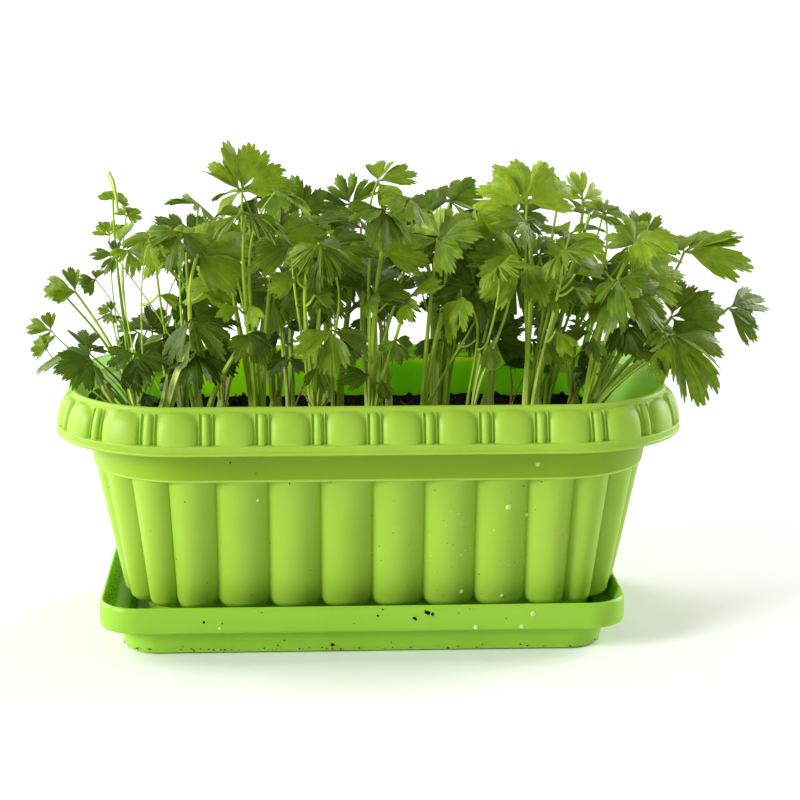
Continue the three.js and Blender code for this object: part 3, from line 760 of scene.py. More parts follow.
def samplesOf(leaf, plant):
    axes = leafFrame(leaf)
    points = [
        (bladePoint(leaf, axes, leaflet, reach, angle), False)
        for leaflet in leaflets for reach in sampleReach for angle in sampleAngle
    ]
    curve = stalkCurve(leaf, plant)
    corners = [curvePoint(curve, share) for share in stalk["rings"]]
    for i in range(2, stalk["samples"]):
        share = i / stalk["samples"]
        k = next(n for n, ring in enumerate(stalk["rings"]) if ring > share) - 1
        part = (share - stalk["rings"][k]) / (stalk["rings"][k + 1] - stalk["rings"][k])
        points.append((tuple(a + (b - a) * part for a, b in zip(corners[k], corners[k + 1])), True))
    return points


def isClearOfBlade(points, leaf):
    clear = stalk["clearOfBlade"]
    stalks = [p for p, isStalk in points if isStalk and math.dist(p, leaf["at"]) > 2 * clear]
    blades = [p for p, isStalk in points if not isStalk]
    away = unit(along(points[-1][0], leaf["at"], -1))
    if any(dot(unit(along(q, leaf["at"], -1)), away) >= stalk["awayFromBlade"] for q in blades):
        return False
    return all(math.dist(p, q) > clear for p in stalks for q in blades)


# What keeps leaves off the rim and the soil: how far within the rim the soil is open, how far off either side
# of its wall they stay, between which heights, and how high above the soil a blade stays
keepOff = {"inside": 13, "wall": 4, "low": 106, "high": 168.5, "soil": 9}


class Space:  # what is taken already, kept in cells as wide as the clearance
    def __init__(self, clearance):
        self.clearance = clearance
        self.cells = {}

    def cell(self, p):
        return tuple(math.floor(v / self.clearance) for v in p)

    def take(self, points, index):
        for p, isStalk in points:
            self.cells.setdefault(self.cell(p), []).append((p, isStalk, index))

    def isFree(self, points, index):
        inside, outside = inset(trough["rim"], keepOff["inside"]), trough["rim"]
        for p, isStalk in points:
            overSoil = beyond(p[0], p[1], inside) < -keepOff["wall"]
            pastRim = beyond(p[0], p[1], outside) > keepOff["wall"] and p[2] > keepOff["low"]
            if p[2] < keepOff["high"] and not (overSoil or pastRim):
                return False
            if p[2] < ground["level"] + keepOff["soil"] and not isStalk:
                return False
            i, j, k = self.cell(p)
            near = ((i + a, j + b, k + c) for a in (-1, 0, 1) for b in (-1, 0, 1) for c in (-1, 0, 1))
            for cell in near:
                for q, otherStalk, other in self.cells.get(cell, ()):
                    if other == index and (isStalk or otherStalk):
                        continue
                    if math.dist(p, q) < self.clearance:
                        return False
        return True


def newLeaf(x, y, z, turn, length, plant):
    bearing = math.atan2(y - plant["y"], x - plant["x"])
    return {
        "at": (x, y, z), "turn": turn, "length": length, **strayed(held),
        "offset": (stalk["fromMiddle"] * math.cos(bearing), stalk["fromMiddle"] * math.sin(bearing)),
    }


def setLeaf(plant, leaf, index, space):
    for depth, twist, lift in tries:
        x, y, z = leaf["at"]
        placed = {**leaf, "turn": leaf["turn"] + twist, "at": (x, y + depth, z - depth * 0.27 + lift)}
        points = samplesOf(placed, plant)
        if isClearOfBlade(points, placed) and space.isFree(points, index):
            space.take(points, index)
            plant["leaves"].append(placed)
            return True
    return False


def setPlaced(crop, placed, space):  # leaves given one by one, each on the plant that is nearest to its foot
    count = 0
    for footX, footY, x, y, z, turn, length in placed:
        plant = min(crop, key=lambda one: math.hypot(one["x"] - footX, one["y"] - footY))
        count += setLeaf(plant, newLeaf(x, y, z, turn, length, plant), crop.index(plant), space)
    return count


def roundLeaf(plant, height, reach, length):
    bearing = nextRandom() * 2 * math.pi
    arch = 1 - ruled["arch"] * (plant["x"] / ruled["archWidth"]) ** 2
    out = reach * (ruled["nearest"] + ruled["farther"] * nextRandom())
    x = plant["x"] + out * math.cos(bearing) + plant["x"] * ruled["outward"]
    y = plant["y"] + out * math.sin(bearing) * ruled["depth"]
    z = ground["level"] + height * arch + spread(ruled["height"])
    turn = bearing * 180 / math.pi + spread(ruled["turn"])
    return newLeaf(x, y, z, turn, length + spread(ruled["length"]), plant)


def growCrop():
    crop, space = [], Space(clearance["first"])
    for y, xs in rows:
        for x in xs:
            crop.append({"x": x + spread(3), "y": y + spread(5), "leaves": []})
    total = setPlaced(crop, leading, space)
    for height, reach, length in rounds:
        for index, plant in enumerate(crop):
            leaf = roundLeaf(plant, height, reach, length)
            if total < mostLeaves and len(plant["leaves"]) < mostPerPlant:
                total += setLeaf(plant, leaf, index, space)
    return [plant for plant in crop if plant["leaves"]], space


# The leaves that fill the crop up, over the same crowns, set closer together
fillRounds = (
    (112, 26, 33), (128, 20, 30), (98, 32, 30), (142, 16, 30), (104, 40, 28), (148, 24, 26), (88, 42, 25),
    (134, 28, 26), (150, 14, 23), (118, 36, 24), (140, 30, 22),
)
heldFilling = {"lean": (-0.4, 0.8), "side": (0, 0.8), "droop": (0.3, 0.2)}
# Small leaves that stand out at the ends, in the same terms as the leading leaves
small = (
    (-152, -4, -168, 0, 293, 100, 13), (-152, -4, -176, -10, 253, 165, 15),
    (-152, -4, -198, -12, 223, 200, 15), (-142, -52, -174, -30, 211, 160, 15),
    (-142, -52, -206, -30, 190, 150, 12), (-152, -4, -150, 0, 274, 60, 16), (150, -4, 205, 0, 226, 20, 20),
    (142, 44, 196, 30, 232, 40, 22), (150, -4, 222, -30, 196, -20, 20), (132, -52, 188, -64, 206, -50, 36),
    (142, 44, 160, 30, 286, 95, 18), (132, -52, 178, -66, 190, -75, 26),
)
sparse = -95  # left of this the crop thins out
longestThere = 23
thin = -115  # and left of this its stalks are thin
bare = ((-230, -134, 184, 246), (8, 40, 180, 220), (70, 92, 205, 226))  # gaps, seen from the front: x and z
# How some leaves differ from the rule, by plant and by leaf. First their size, as a share of the rule's
resized = {
    0.45: ((10, 4),), 0.5: ((10, 0), (23, 2)), 0.55: ((19, 1),),
    0.6: ((10, 10), (19, 2), (19, 3), (9, 3), (24, 6), (5, 1)), 0.65: ((2, 0), (14, 1)),
    0.7: ((1, 2), (1, 3), (10, 3), (11, 4), (16, 2)), 0.72: ((11, 1),),
    0.75: ((10, 1), (10, 7), (10, 8), (25, 1), (27, 1), (9, 5), (17, 4)),
    0.8: (
        (1, 5), (13, 0), (22, 2), (14, 0), (17, 2), (27, 2), (4, 2), (2, 3), (17, 3), (24, 1), (27, 0),
    ),
    0.85: ((11, 3), (17, 1), (4, 1), (6, 1), (12, 0)), 0.9: ((10, 6), (11, 0), (20, 3), (18, 2)),
    0.95: ((18, 1),), 1.25: ((9, 2),),
}
# How far they are moved, in mm
moved = {
    (1, 1): (0, 0, 4), (1, 2): (12, 0, -26), (1, 3): (10, 0, 1), (1, 5): (0, 0, 9), (1, 6): (2, 0, 15),
    (10, 0): (0, 0, -6), (10, 3): (8, 0, -14), (10, 4): (0, 0, -9), (10, 5): (5, 0, -14),
    (10, 6): (2, 0, -25), (10, 8): (-7, 0, -14), (10, 9): (2, 0, -33), (10, 10): (-6, 0, -30),
    (11, 0): (0, 0, 7), (11, 3): (8, 0, -23), (19, 1): (12, 0, -32), (19, 2): (0, 0, -8),
    (20, 3): (4, 0, 13), (20, 5): (0, 0, -8), (3, 0): (3, 0, -12), (13, 0): (0, 0, -6),
    (22, 2): (0, 0, -11), (5, 7): (32, 0, 7), (14, 0): (-10, 0, -3), (24, 4): (0, 0, -8),
    (8, 0): (-2, 0, -10), (17, 1): (-1, 0, -12), (20, 0): (0, 0, -4), (26, 2): (0, 0, -12),
    (27, 1): (0, 0, -12), (27, 2): (0, 0, -24), (9, 2): (0, 0, -5), (18, 0): (-12, 0, -2),
}
# Then by how much they are paler, how far their leaflets stand up from the leaf's plane, how they are turned
# and opened, how narrow they are, and leaflets of their own swing and size
habits = {
    (1, 1): {"raise": 0.4}, (10, 0): {"raise": 0.3}, (13, 0): {"raise": 0.3}, (20, 0): {"raise": 0.3},
    (7, 0): {"paler": 0.22}, (8, 1): {"paler": 0.25}, (17, 0): {"paler": 0.15}, (17, 1): {"paler": 0.2},
    (3, 0): {"raise": 0.4, "turn": 76, "opening": 1.08, "leaflets": ((-1, 0.86), (0, 1), (1, 0.8))},
    (14, 0): {"turn": 20, "raise": -0.1, "paler": 0.15}, (18, 2): {"turn": 12},
    (8, 0): {"raise": 0.2, "paler": 0.08, "opening": 1.05}, (9, 0): {"turn": 18, "opening": 0.95},
    (9, 2): {
        "turn": -62, "opening": 0.8, "narrow": 0.78, "paler": -0.12,
        "leaflets": ((-1, 0.72), (0, 1), (1, 0.9)),
    },
    (18, 0): {
        "turn": 16, "opening": 0.5, "narrow": 1.05, "paler": 0.1,
        "leaflets": ((-0.9, 0.98), (0.75, 1), (2.8, 0.62)),
    },
    (18, 1): {
        "turn": -4, "opening": 0.62, "narrow": 0.7, "paler": 0.12, "raise": -0.2,
        "leaflets": ((-1, 0.8), (-0.4, 0.55), (1, 1)),
    },
}
# Small leaflets on stalks of their own, lower on a leaf's stalk
lower = {
    "perLeaf": 3,
    "least": 60,  # a leaf that stands lower has none
    "along": (0.26, 0.78),  # where on the leaf's stalk
    "stalk": (8, 16), "steps": (0, 0.3, 0.6, 0.85, 1), "radii": (0.85, 0.8, 0.7, 0.6, 0.55), "sag": 0.12,
    "length": (14, 21), "turn": 30, "opening": 1,
    "held": {"side": (0, 0.6), "lean": (-0.8, 0.6), "cup": (0, 0.2), "droop": (0.1, 0.2)},
    "shadedBelow": 205, "shaded": -0.14, "lit": 0.08,  # in tone
}


def isInside(points, margin):  # whether all the points lie within the object's own box
    low, high = (tuple(c / mm for c in corner) for corner in cadBox)
    return all(a + margin < v < b - margin for p, _ in points for v, a, b in zip(p, low, high))


def isBare(point):  # whether it lies in one of the gaps
    return any(left < point[0] < right and low < point[2] < high for left, right, low, high in bare)


def fillCrop(crop, space):
    closer = Space(clearance["filling"])
    for points in space.cells.values():
        for p, isStalk, index in points:
            closer.take([(p, isStalk)], index)
    setPlaced(crop, small, closer)
    for number, (height, reach, length) in enumerate(fillRounds):
        for index, plant in enumerate(crop):
            if plant["x"] < sparse:
                if number % 2:
                    continue
                length = min(length, longestThere)
            leaf = roundLeaf(plant, height, reach, length)
            leaf.update(strayed(heldFilling))
            if isInside(samplesOf(leaf, plant), 12) and not isBare(leaf["at"]):
                setLeaf(plant, leaf, index, closer)
    for size, ones in resized.items():
        for number, place in ones:
            crop[number - 1]["leaves"][place]["length"] *= size
    for (number, place), move in moved.items():
        leaf = crop[number - 1]["leaves"][place]
        leaf["at"] = along(leaf["at"], move, 1)
    for (number, place), habit in habits.items():
        crop[number - 1]["leaves"][place].update(habit)
    for index, plant in enumerate(crop):
        for leaf in plant["leaves"]:
            leaf["lower"] = lowerLeaflets(leaf, plant, index, closer)


def lowerLeaflets(leaf, plant, index, space):
    if leaf["at"][2] - ground["level"] < lower["least"]:
        return []
    curve, kept = stalkCurve(leaf, plant), []
    for _ in range(lower["perLeaf"]):
        foot = curvePoint(curve, between(*lower["along"]))
        bearing = nextRandom() * 2 * math.pi
        way = unit((math.cos(bearing), math.sin(bearing) - 0.2, between(0.5, 1)))
        reach = between(*lower["stalk"])
        side = {
            "at": along(foot, way, reach), "foot": foot, "way": way, "reach": reach,
            "turn": math.degrees(math.atan2(way[1] + 0.3, way[0])) + spread(lower["turn"]),
            "length": between(*lower["length"]), "opening": lower["opening"], **strayed(lower["held"]),
        }
        axes = leafFrame(side)
        points = [
            (bladePoint(side, axes, (0, 1), r, a), False) for r in sampleReach for a in sampleAngle
        ]
        if isInside(points, 4) and not isBare(side["at"]) and space.isFree(points, -1):
            space.take(points, index)
            kept.append(side)
    return kept


crop, space = growCrop()
placedFirst = sum(len(plant["leaves"]) for plant in crop)
fillCrop(crop, space)
print("crop grown:", placedFirst, "leaves, then", sum(len(plant["leaves"]) for plant in crop))

# Half of a leaflet's margin, from its tip round to its side: angle as a share of the half angle, and reach.
# A cut parts its middle lobe from its side lobe, and each lobe ends in short teeth. Values in pairs are the
# least and the most that a leaflet is given
leaflet = {
    "halfAngle": 0.66,
    "margin": (
        (0, 1), (0.045, 0.985), (0.09, 0.9), (0.13, 0.96), (0.19, 0.94), (0.24, 0.83), (0.31, 0.86),
        (0.37, 0.7), (0.43, 0.83), (0.49, 0.81), (0.54, 0.91), (0.6, 0.93), (0.66, 0.83), (0.71, 0.89),
        (0.77, 0.87), (0.83, 0.75), (0.9, 0.79), (0.95, 0.68), (1, 0.58),
    ),
    "cutFrom": 0.34, "cutTo": 0.4,  # where that cut lies
    "depth": (0.48, 0.86),  # how much of the leaflet it leaves
    "wider": (0.88, 1.12), "lobe": (-0.06, 0.06), "uneven": (-0.028, 0.028),
    "narrow": (0.72, 1.12), "swing": (-0.12, 0.12), "longer": (0.9, 1.06),
    "fold": (-0.08, 0.3), "curl": (0.04, 0.28), "twist": (-0.35, 0.35), "pitch": (-0.24, 0.14),
    "lobeCup": (0.2, 0.9), "lobeRise": 0.035, "lobeWidth": 0.74,
    "rows": (0.015, 0.22, 0.42, 0.62, 0.82, 1),
    "small": 23,  # a leaflet shorter than this has fewer rows
    "smallRows": (0.015, 0.32, 0.66, 1),
    "neck": 0.16,  # how narrow its foot is
    "full": 0.58,  # how far along it has its full angle
    "thickness": 0.36,
    "foot": 0.9,  # how much thicker its foot is
    "ripple": 0.035, "ripples": 7,
    "crumples": 0.11,  # per mm
    "crumple": 1.5,  # how high, in mm
}


# Rows of points from a leaflet's foot to its margin, as share across, reach, angle and share along
def leafletShape(chance, narrow, rows):
    wider = narrow * chance.uniform(*leaflet["wider"])
    margin = []
    for side in (-1, 1):
        cut, lobe = chance.uniform(*leaflet["depth"]), chance.uniform(*leaflet["lobe"])
        half = []
        for a, r in leaflet["margin"]:
            if leaflet["cutFrom"] < a < leaflet["cutTo"]:
                r = cut
            elif a > leaflet["cutFrom"]:
                r += lobe
            half.append((side * a * wider, r + chance.uniform(*leaflet["uneven"])))
        margin = half[:0:-1] if side < 0 else margin + half
    table = []
    for share in rows:
        wide = min(share / leaflet["full"], 1)
        wide = leaflet["neck"] + (1 - leaflet["neck"]) * wide * wide * (3 - 2 * wide)
        table.append([(a, share * r, a * leaflet["halfAngle"] * wide, share) for a, r in margin])
    return table


def keepInside(points, shares):  # a blade that would reach past the object's own box is bent back
    for axis in range(3):
        low, high = cadBox[0][axis] / mm + 0.6, cadBox[1][axis] / mm - 0.6
        for sign, limit in ((1, high), (-1, -low)):
            over = max((sign * p[axis] - limit) / max(share, 0.3) ** 2 for p, share in zip(points, shares))
            if over > 0:
                for p, share in zip(points, shares):
                    p[axis] -= sign * over * share * share


def addLeaflet(mesh, leaf, axes, part, seed, tone, narrow=1):  # a thin closed blade, upper side first
    chance = random.Random(seed)
    isSmall = leaf["length"] * part[1] < leaflet["small"]
    table = leafletShape(chance, narrow, leaflet["smallRows" if isSmall else "rows"])
    phase = chance.uniform(0, 6.28)
    drawn = ("fold", "curl", "twist", "pitch", "lobeCup", "swing", "longer")
    fold, curl, twist, pitch, lobeCup, swing, longer = (chance.uniform(*leaflet[key]) for key in drawn)
    part = (part[0] + swing, part[1] * longer)
    length = leaf["length"] * part[1]
    columns = len(table[0])
    first = len(mesh["points"])
    points, shares = [], []
    for side in (1, -1):
        for row in table:
            for a, reach, angle, share in row:
                point = bladePoint(leaf, axes, part, reach, angle)
                aside = reach * math.sin(angle)
                wave = math.cos(2 * math.pi * a / leaflet["lobeWidth"])
                lift = leaflet["ripple"] * math.sin(leaflet["ripples"] * a + phase) * share ** 3
                lift += lobeCup * leaflet["lobeRise"] * wave * share ** 2
                lift += fold * abs(aside) * share - curl * reach ** 3 + twist * aside + pitch * reach
                lift += leaf.get("raise", 0) * reach
                crumple = noise.noise([c * leaflet["crumples"] for c in point]) * leaflet["crumple"] * share
                thick = leaflet["thickness"] + leaflet["foot"] * (1 - share) ** 5
                points.append(list(along(point, axes[0], length * lift + crumple + side * thick / 2)))
                shares.append(share)
                mesh["chart"].append((0.5 + a / 2, share * 0.999))
                mesh["tone"].append(tone + 0.06 * share)
                mesh["under"].append(0 if side > 0 else 1)
    keepInside(points, shares)
    mesh["points"] += points
    size = len(table) * columns
    at = lambda side, row, column: first + side * size + row * columns + column
    for row in range(len(table) - 1):
        for column in range(columns - 1):
            corners = [(row, column), (row + 1, column), (row + 1, column + 1), (row, column + 1)]
            mesh["faces"].append([at(0, *corner) for corner in corners])
            mesh["faces"].append([at(1, *corner) for corner in reversed(corners)])
    rim = [(row, 0) for row in range(len(table))]
    rim += [(len(table) - 1, column) for column in range(1, columns)]
    rim += [(row, columns - 1) for row in range(len(table) - 2, -1, -1)]
    rim += [(0, column) for column in range(columns - 2, 0, -1)]
    for i, corner in enumerate(rim):
        other = rim[(i + 1) % len(rim)]
        mesh["faces"].append([at(0, *other), at(0, *corner), at(1, *corner), at(1, *other)])
    mesh["finish"] += [0] * (len(mesh["faces"]) - len(mesh["finish"]))


def addTube(mesh, path, radii, tone, ribs=0.12):  # a ribbed tube along a path, closed at both ends
    sides = stalk["sides"]
    first = len(mesh["points"])
    across = unit(crossed(along(path[1], path[0], -1), (0.3, 1, 0.2)))
    for i, point in enumerate(path):
        ahead = along(path[min(i + 1, len(path) - 1)], path[max(i - 1, 0)], -1)
        tangent = unit(ahead)
        across = unit(along(across, tangent, -dot(across, tangent)))
        depth = crossed(tangent, across)
        for k in range(sides):
            angle = 2 * math.pi * k / sides
            radius = radii[i] * (1 + (ribs if k % 2 else -ribs))
            spot = along(along(point, across, radius * math.cos(angle)), depth, radius * math.sin(angle))
            mesh["points"].append(spot)
            mesh["chart"].append((k / sides, i / len(path)))
            mesh["tone"].append(tone(i / (len(path) - 1)))
            mesh["under"].append(0)
    for i in range(len(path) - 1):
        for k in range(sides):
            m = (k + 1) % sides
            low, high = first + i * sides, first + (i + 1) * sides
            mesh["faces"].append([low + k, low + m, high + m, high + k])
    mesh["faces"].append([first + k for k in reversed(range(sides))])
    mesh["faces"].append([first + (len(path) - 1) * sides + k for k in range(sides)])
    mesh["finish"] += [1] * (len(mesh["faces"]) - len(mesh["finish"]))


# A leaf's tone: painted light that makes it paler the higher and the farther out it stands, painted shade on
# the low ones, and a random draw; heights and distances in mm
leafToneAndPaintedLight = {"least": 0.1, "higher": 0.46, "height": 150, "outward": 0.12, "out": 190, "draw": (-0.2, 0.2)}


def bentPath(start, way, reach, aside, amount, steps):  # bent aside most at its middle
    return [along(along(start, way, reach * t), aside, 4 * amount * t * (1 - t)) for t in steps]


def addLeaf(mesh, leaf, plant, seed):
    chance = random.Random(seed)
    height = (leaf["at"][2] - ground["level"]) / leafToneAndPaintedLight["height"]
    outward = min(abs(leaf["at"][0]) / leafToneAndPaintedLight["out"], 1)
    # Painted light and shade: paler high up and far out, darker low in the crop
    tone = leafToneAndPaintedLight["least"] + leafToneAndPaintedLight["higher"] * height + leafToneAndPaintedLight["outward"] * outward ** 2
    tone += chance.uniform(*leafToneAndPaintedLight["draw"])
    tone += leaf.get("paler", 0)
    narrow = leaf.get("narrow", chance.uniform(*leaflet["narrow"]))
    axes = leafFrame(leaf)
    for i, part in enumerate(leaf.get("leaflets", leaflets)):
        addLeaflet(mesh, leaf, axes, part, seed * 7 + i, tone, narrow)
    curve, steps, isThin = stalkCurve(leaf, plant), stalk["steps"], leaf["at"][0] < thin
    size = (0.5 + 0.5 * min(leaf["length"] / 34, 1.1)) * chance.choice(stalk["sizes"])
    if isThin:
        size *= stalk["thinned"]
    path = [curvePoint(curve, i / steps) for i in range(steps + 1)]
    tapered = [(i / steps) ** stalk["taper"] for i in range(steps + 1)]
    radii = [size * (stalk["foot"] + (stalk["head"] - stalk["foot"]) * k) for k in tapered]
    path.append(along(path[-1], axes[0], 0.9))  # the swelling where the leaflets meet
    radii[-1] *= 1.25
    radii.append(radii[-1] * 0.6)
    pale = 0.7 + chance.uniform(-0.16, 0.14)
    bow = chance.choice((-1, 1)) * chance.uniform(*stalk["bow"])
    if isThin and not leaf["lower"]:
        arch = [bow * math.sin(math.pi * min(i / steps, 1)) for i in range(len(path))]
        path = [along(p, (1, -0.4, 0), aside) for p, aside in zip(path, arch)]
    addTube(mesh, path, radii, lambda share: pale + 0.14 * (1 - share) ** 3 - 0.05 * share)
    for k, side in enumerate(leaf["lower"]):
        shade = tone + lower["lit" if side["at"][2] > lower["shadedBelow"] else "shaded"]
        addLeaflet(mesh, side, leafFrame(side), (0, 1), seed * 7 + 3 + k, shade)
        sag = (0, 0, -lower["sag"] * side["reach"])
        path = bentPath(side["foot"], side["way"], side["reach"], sag, 1, lower["steps"])
        addTube(mesh, path, lower["radii"], lambda share: pale)


def addCrown(mesh, plant):  # sheathing bases of the stalks, pale where they leave the soil
    steps = ((-9, 3.2), (-4, 4.3), (0, 4.5), (3, 4.1), (6, 3.3), (9, 2.3))
    path = [(plant["x"], plant["y"], ground["level"] + z) for z, _ in steps]
    addTube(mesh, path, [radius for _, radius in steps], lambda share: 0.95 - 0.2 * share, 0.06)


def newGrowth():
    return {"points": [], "faces": [], "chart": [], "tone": [], "under": [], "finish": []}


def finishGrowth(name, mesh, node, *finishes):
    piece = newPiece(name, mesh["points"], mesh["faces"])
    data = piece.data
    for attribute in ("tone", "under"):
        data.attributes.new(attribute, "FLOAT", "POINT").data.foreach_set("value", mesh[attribute])
    chart = data.uv_layers.new(name="leafMap")
    for loop in data.loops:
        chart.data[loop.index].uv = mesh["chart"][loop.vertex_index]
    smooth(piece, 50)
    dress(piece, node, "leaf", *finishes)
    data.polygons.foreach_set("material_index", mesh["finish"])


def makePlant(plant, number):
    mesh = newGrowth()
    for i, leaf in enumerate(plant["leaves"]):
        addLeaf(mesh, leaf, plant, number * 100 + i)
    addCrown(mesh, plant)
    finishGrowth(f"celery_plant_{number:02d}", mesh, f"seedling_{number:02d}", leafFinish, stalkFinish)


for number, plant in enumerate(crop, 1):
    makePlant(plant, number)
plants = [piece for piece in bpy.data.objects if piece.name.startswith("celery_plant")]
print("plants made:", sum(len(piece.data.polygons) for piece in plants), "faces")

# Crumbs of soil: one crumb of few faces, turned, stretched and strewn, partly sunk in what it lies on
crumb = {
    "onSoil": 1300,
    "sizes": (0.7, 1.9),
    "big": 0.1,  # share of them that are up to twice the size
    # Specks of dried soil on the trough's side, as place on its outline, height and size
    "onTrough": (
        (1.91, 112.4, 0.7), (2.7, 112.6, 0.6), (0.8, 127, 0.6), (3.49, 88, 0.5), (1.52, 70, 0.4),
        (4.2, 41, 0.4), (2.3, 52, 0.4), (-0.4, 60, 0.5), (5.6, 47, 0.5), (6.4, 108, 0.5), (0.3, 44, 0.4),
        (1.15, 36, 0.4),
    ),
    # On the front of the tray, as x, height and size
    "onLip": (
        (-106, 24, 1.2), (33, 29, 1.4), (34.8, 28.3, 1.6), (37.4, 27.4, 1.5), (26, 25, 1.5), (27, 24, 1.2),
        (6, 31, 0.8), (3, 27, 0.9), (84, 24, 0.5), (-70, 30, 0.5), (54, 28, 0.5), (-12, 22, 0.5),
        (61, 30.5, 0.5),
    ),
    "onFoot": ((-25.6, 5, 1.4), (-60, 5, 0.7), (12, 6, 0.6), (70, 4, 0.7), (-120, 5, 0.6)),
    # Finer ones: how many, between which places, heights and sizes
    "spray": (40, (3.6, 7.4), (28, 112), (0.2, 0.42)),
    "alongFoot": (110, (-7, 12), (1.5, 3.4), (0.25, 0.9)),
    "inCorner": (90, (0, 1), (20, 31), (0.25, 0.8)),  # along the tray's left wall, thinning out to the back
}


def takeShape():  # points and faces of the shape that was just added, which is taken away again
    one = bpy.context.object
    points = [Vector(vertex.co) for vertex in one.data.vertices]
    faces = [tuple(face.vertices) for face in one.data.polygons]
    bpy.data.objects.remove(one)
    return points, faces


def joinCopies(name, copies, faces):  # one piece of many copies of a shape, each given as its points
    count = len(copies[0])
    points = [p for copy in copies for p in copy]
    firsts = range(0, len(points), count)
    return newPiece(name, points, [[first + i for i in face] for first in firsts for face in faces])


def sprayed(chance, count, places, heights, sizes):
    return [[chance.uniform(*pair) for pair in (places, heights, sizes)] for _ in range(count)]


def strew(name, spots):  # spots: centre in mm, radius in mm and how flat
    chance = random.Random(7)
    bpy.ops.object.select_all(action="DESELECT")
    bpy.ops.mesh.primitive_ico_sphere_add(subdivisions=1, radius=1)
    points, faces = takeShape()
    points = [point * (1 + 0.3 * noise.noise(point * 2.3)) for point in points]
    copies = []
    for centre, radius, flat in spots:
        turn = Quaternion((chance.random() + 0.1, chance.random(), chance.random(), chance.random()))
        turn.normalize()
        stretch = (1, chance.uniform(0.6, 1), chance.uniform(0.5, 0.9))
        shaped = [turn @ Vector(c * k for c, k in zip(point, stretch)) for point in points]
        copies.append([tuple(c + radius * k * f for c, k, f in zip(centre, p, flat)) for p in shaped])
    dress(joinCopies(name, copies, faces), None, "soil", soilFinish)


def onTrough(place, z, proud=0):  # a point of the trough's outside and the way out of it
    x, y, nx, ny = outlinePoint(place % outline["flutes"], bodyAt(z))
    inFlute = -trough["fluteDepth"] * (1 - bulge((place - 0.5) % 1))
    out = 0.75 if z > trough["bodyTop"] else inFlute
    return (x + nx * (out + proud), y + ny * (out + proud), z), (nx, ny)


def makeCrumbs():
    chance = random.Random(41)
    edge = inset(bodyAt(ground["level"]), ground["wall"] + 2)
    spots = []
    while len(spots) < crumb["onSoil"]:
        x, y = chance.uniform(-1, 1) * edge["halfX"], chance.uniform(-1, 1) * edge["halfY"]
        if 1 + beyond(x, y, edge) / edge["corner"] > 0.98:
            continue
        radius = chance.uniform(*crumb["sizes"]) * (2 if chance.random() < crumb["big"] else 1)
        height = groundHeight(x, y, max(abs(x) / edge["halfX"], abs(y) / edge["halfY"]))
        spots.append(((x, y, height + radius * 0.25), radius, (1, 1, 1)))
    strew("soil_crumbs", spots)
    specks = [*crumb["onTrough"], *sprayed(chance, *crumb["spray"])]
    strew("dried_soil_on_trough", [(onTrough(place, z)[0], size, (1, 1, 1)) for place, z, size in specks])
    lip, base, shift = tray["lip"], tray["base"], tray["shiftX"]
    spots = [((x, -lip["halfY"], z), size, (1, 0.45, 1)) for x, z, size in crumb["onLip"]]
    spots += [((x, -base["halfY"] - 0.8, z), size, (1, 0.45, 1)) for x, z, size in crumb["onFoot"]]
    for place, z, size in sprayed(chance, *crumb["alongFoot"]):
        x, y, _, _ = outlinePoint(place % outline["flutes"], base)
        spots.append(((x + shift, y, z), size, (1, 1, 0.6)))
    for back, z, size in sprayed(chance, *crumb["inCorner"]):
        x = shift - lip["halfX"] + 3.2 + (30 - z) * 0.33  # on the sloping inside of its left wall
        spots.append(((x, -lip["halfY"] + 14 + 110 * back ** 2, z), size, (0.5, 1, 1)))
    strew("dried_soil_on_tray", spots)


makeCrumbs()
print("crumbs strewn")

# Drops of water left on the plastic: shallow lenses, as place on the outline or x, height and radius
drops = {
    "onTrough": (
        (6.11, 95, 1.9), (6.48, 88, 1.5), (6.64, 124.5, 1.6), (5.25, 36, 1.5), (6.05, 33, 1.3),
        (1.3, 101, 1.1),
    ),
    "spray": (26, (4.6, 6.6), (30, 96), (0.25, 0.6)),  # finer ones, in the same terms as the specks
    "onLip": ((101, 27, 1.8), (65, 18.5, 1.7), (94, 18.6, 1.5), (-96, 20, 1.2)),
    "high": 0.42,  # how far a drop stands out, as a share of its radius
    "sag": 1.12,  # how much longer its lower half is
}


def waterWithPaintedHighlight():  # clear water in the plastic's colour, lighter than what lies round it: partly the plastic seen through it, partly a painted highlight
    # The pale lime base colour is a painted highlight on each drop
    material, shader = newMaterial(
        "water", Roughness=0.06, IOR=1.333, Transmission_Weight=0.25, Specular_IOR_Level=0.9,
        Base_Color=linear("#CDEB82"),
    )
    place = (addNode(material, "TexCoord"), "Object")
    ripple = addNode(material, "TexNoise", Scale=300, Vector=place)  # about 3 mm
    bump = addNode(material, "Bump", Strength=0.05, Distance=0.0002, Height=(ripple, "Fac"))
    setSockets(material, shader, {"Normal": (bump, "Normal")})
    return material


def makeDrops():
    bpy.ops.object.select_all(action="DESELECT")
    bpy.ops.mesh.primitive_uv_sphere_add(segments=20, ring_count=10, radius=1)
    points, faces = takeShape()
    places = [(*onTrough(place, z, -0.1), radius) for place, z, radius in drops["onTrough"]]
    fine = sprayed(random.Random(5), *drops["spray"])
    places += [(*onTrough(place, z), radius) for place, z, radius in fine]
    places += [((x, -tray["lip"]["halfY"] + 0.1, z), (0, -1), radius) for x, z, radius in drops["onLip"]]
    copies = []
    for centre, (nx, ny), radius in places:
        drop = []
        for point in points:
            out, aside = point.x * drops["high"], point.y
            up = point.z * (drops["sag"] if point.z < 0 else 1)
            spot = (nx * out - ny * aside, ny * out + nx * aside, up)
            drop.append(tuple(c + radius * k for c, k in zip(centre, spot)))
        copies.append(drop)
    piece = joinCopies("water_drops", copies, faces)
    smooth(piece, 60)
    dress(piece, None, "pot", waterWithPaintedHighlight())


makeDrops()
print("drops placed")

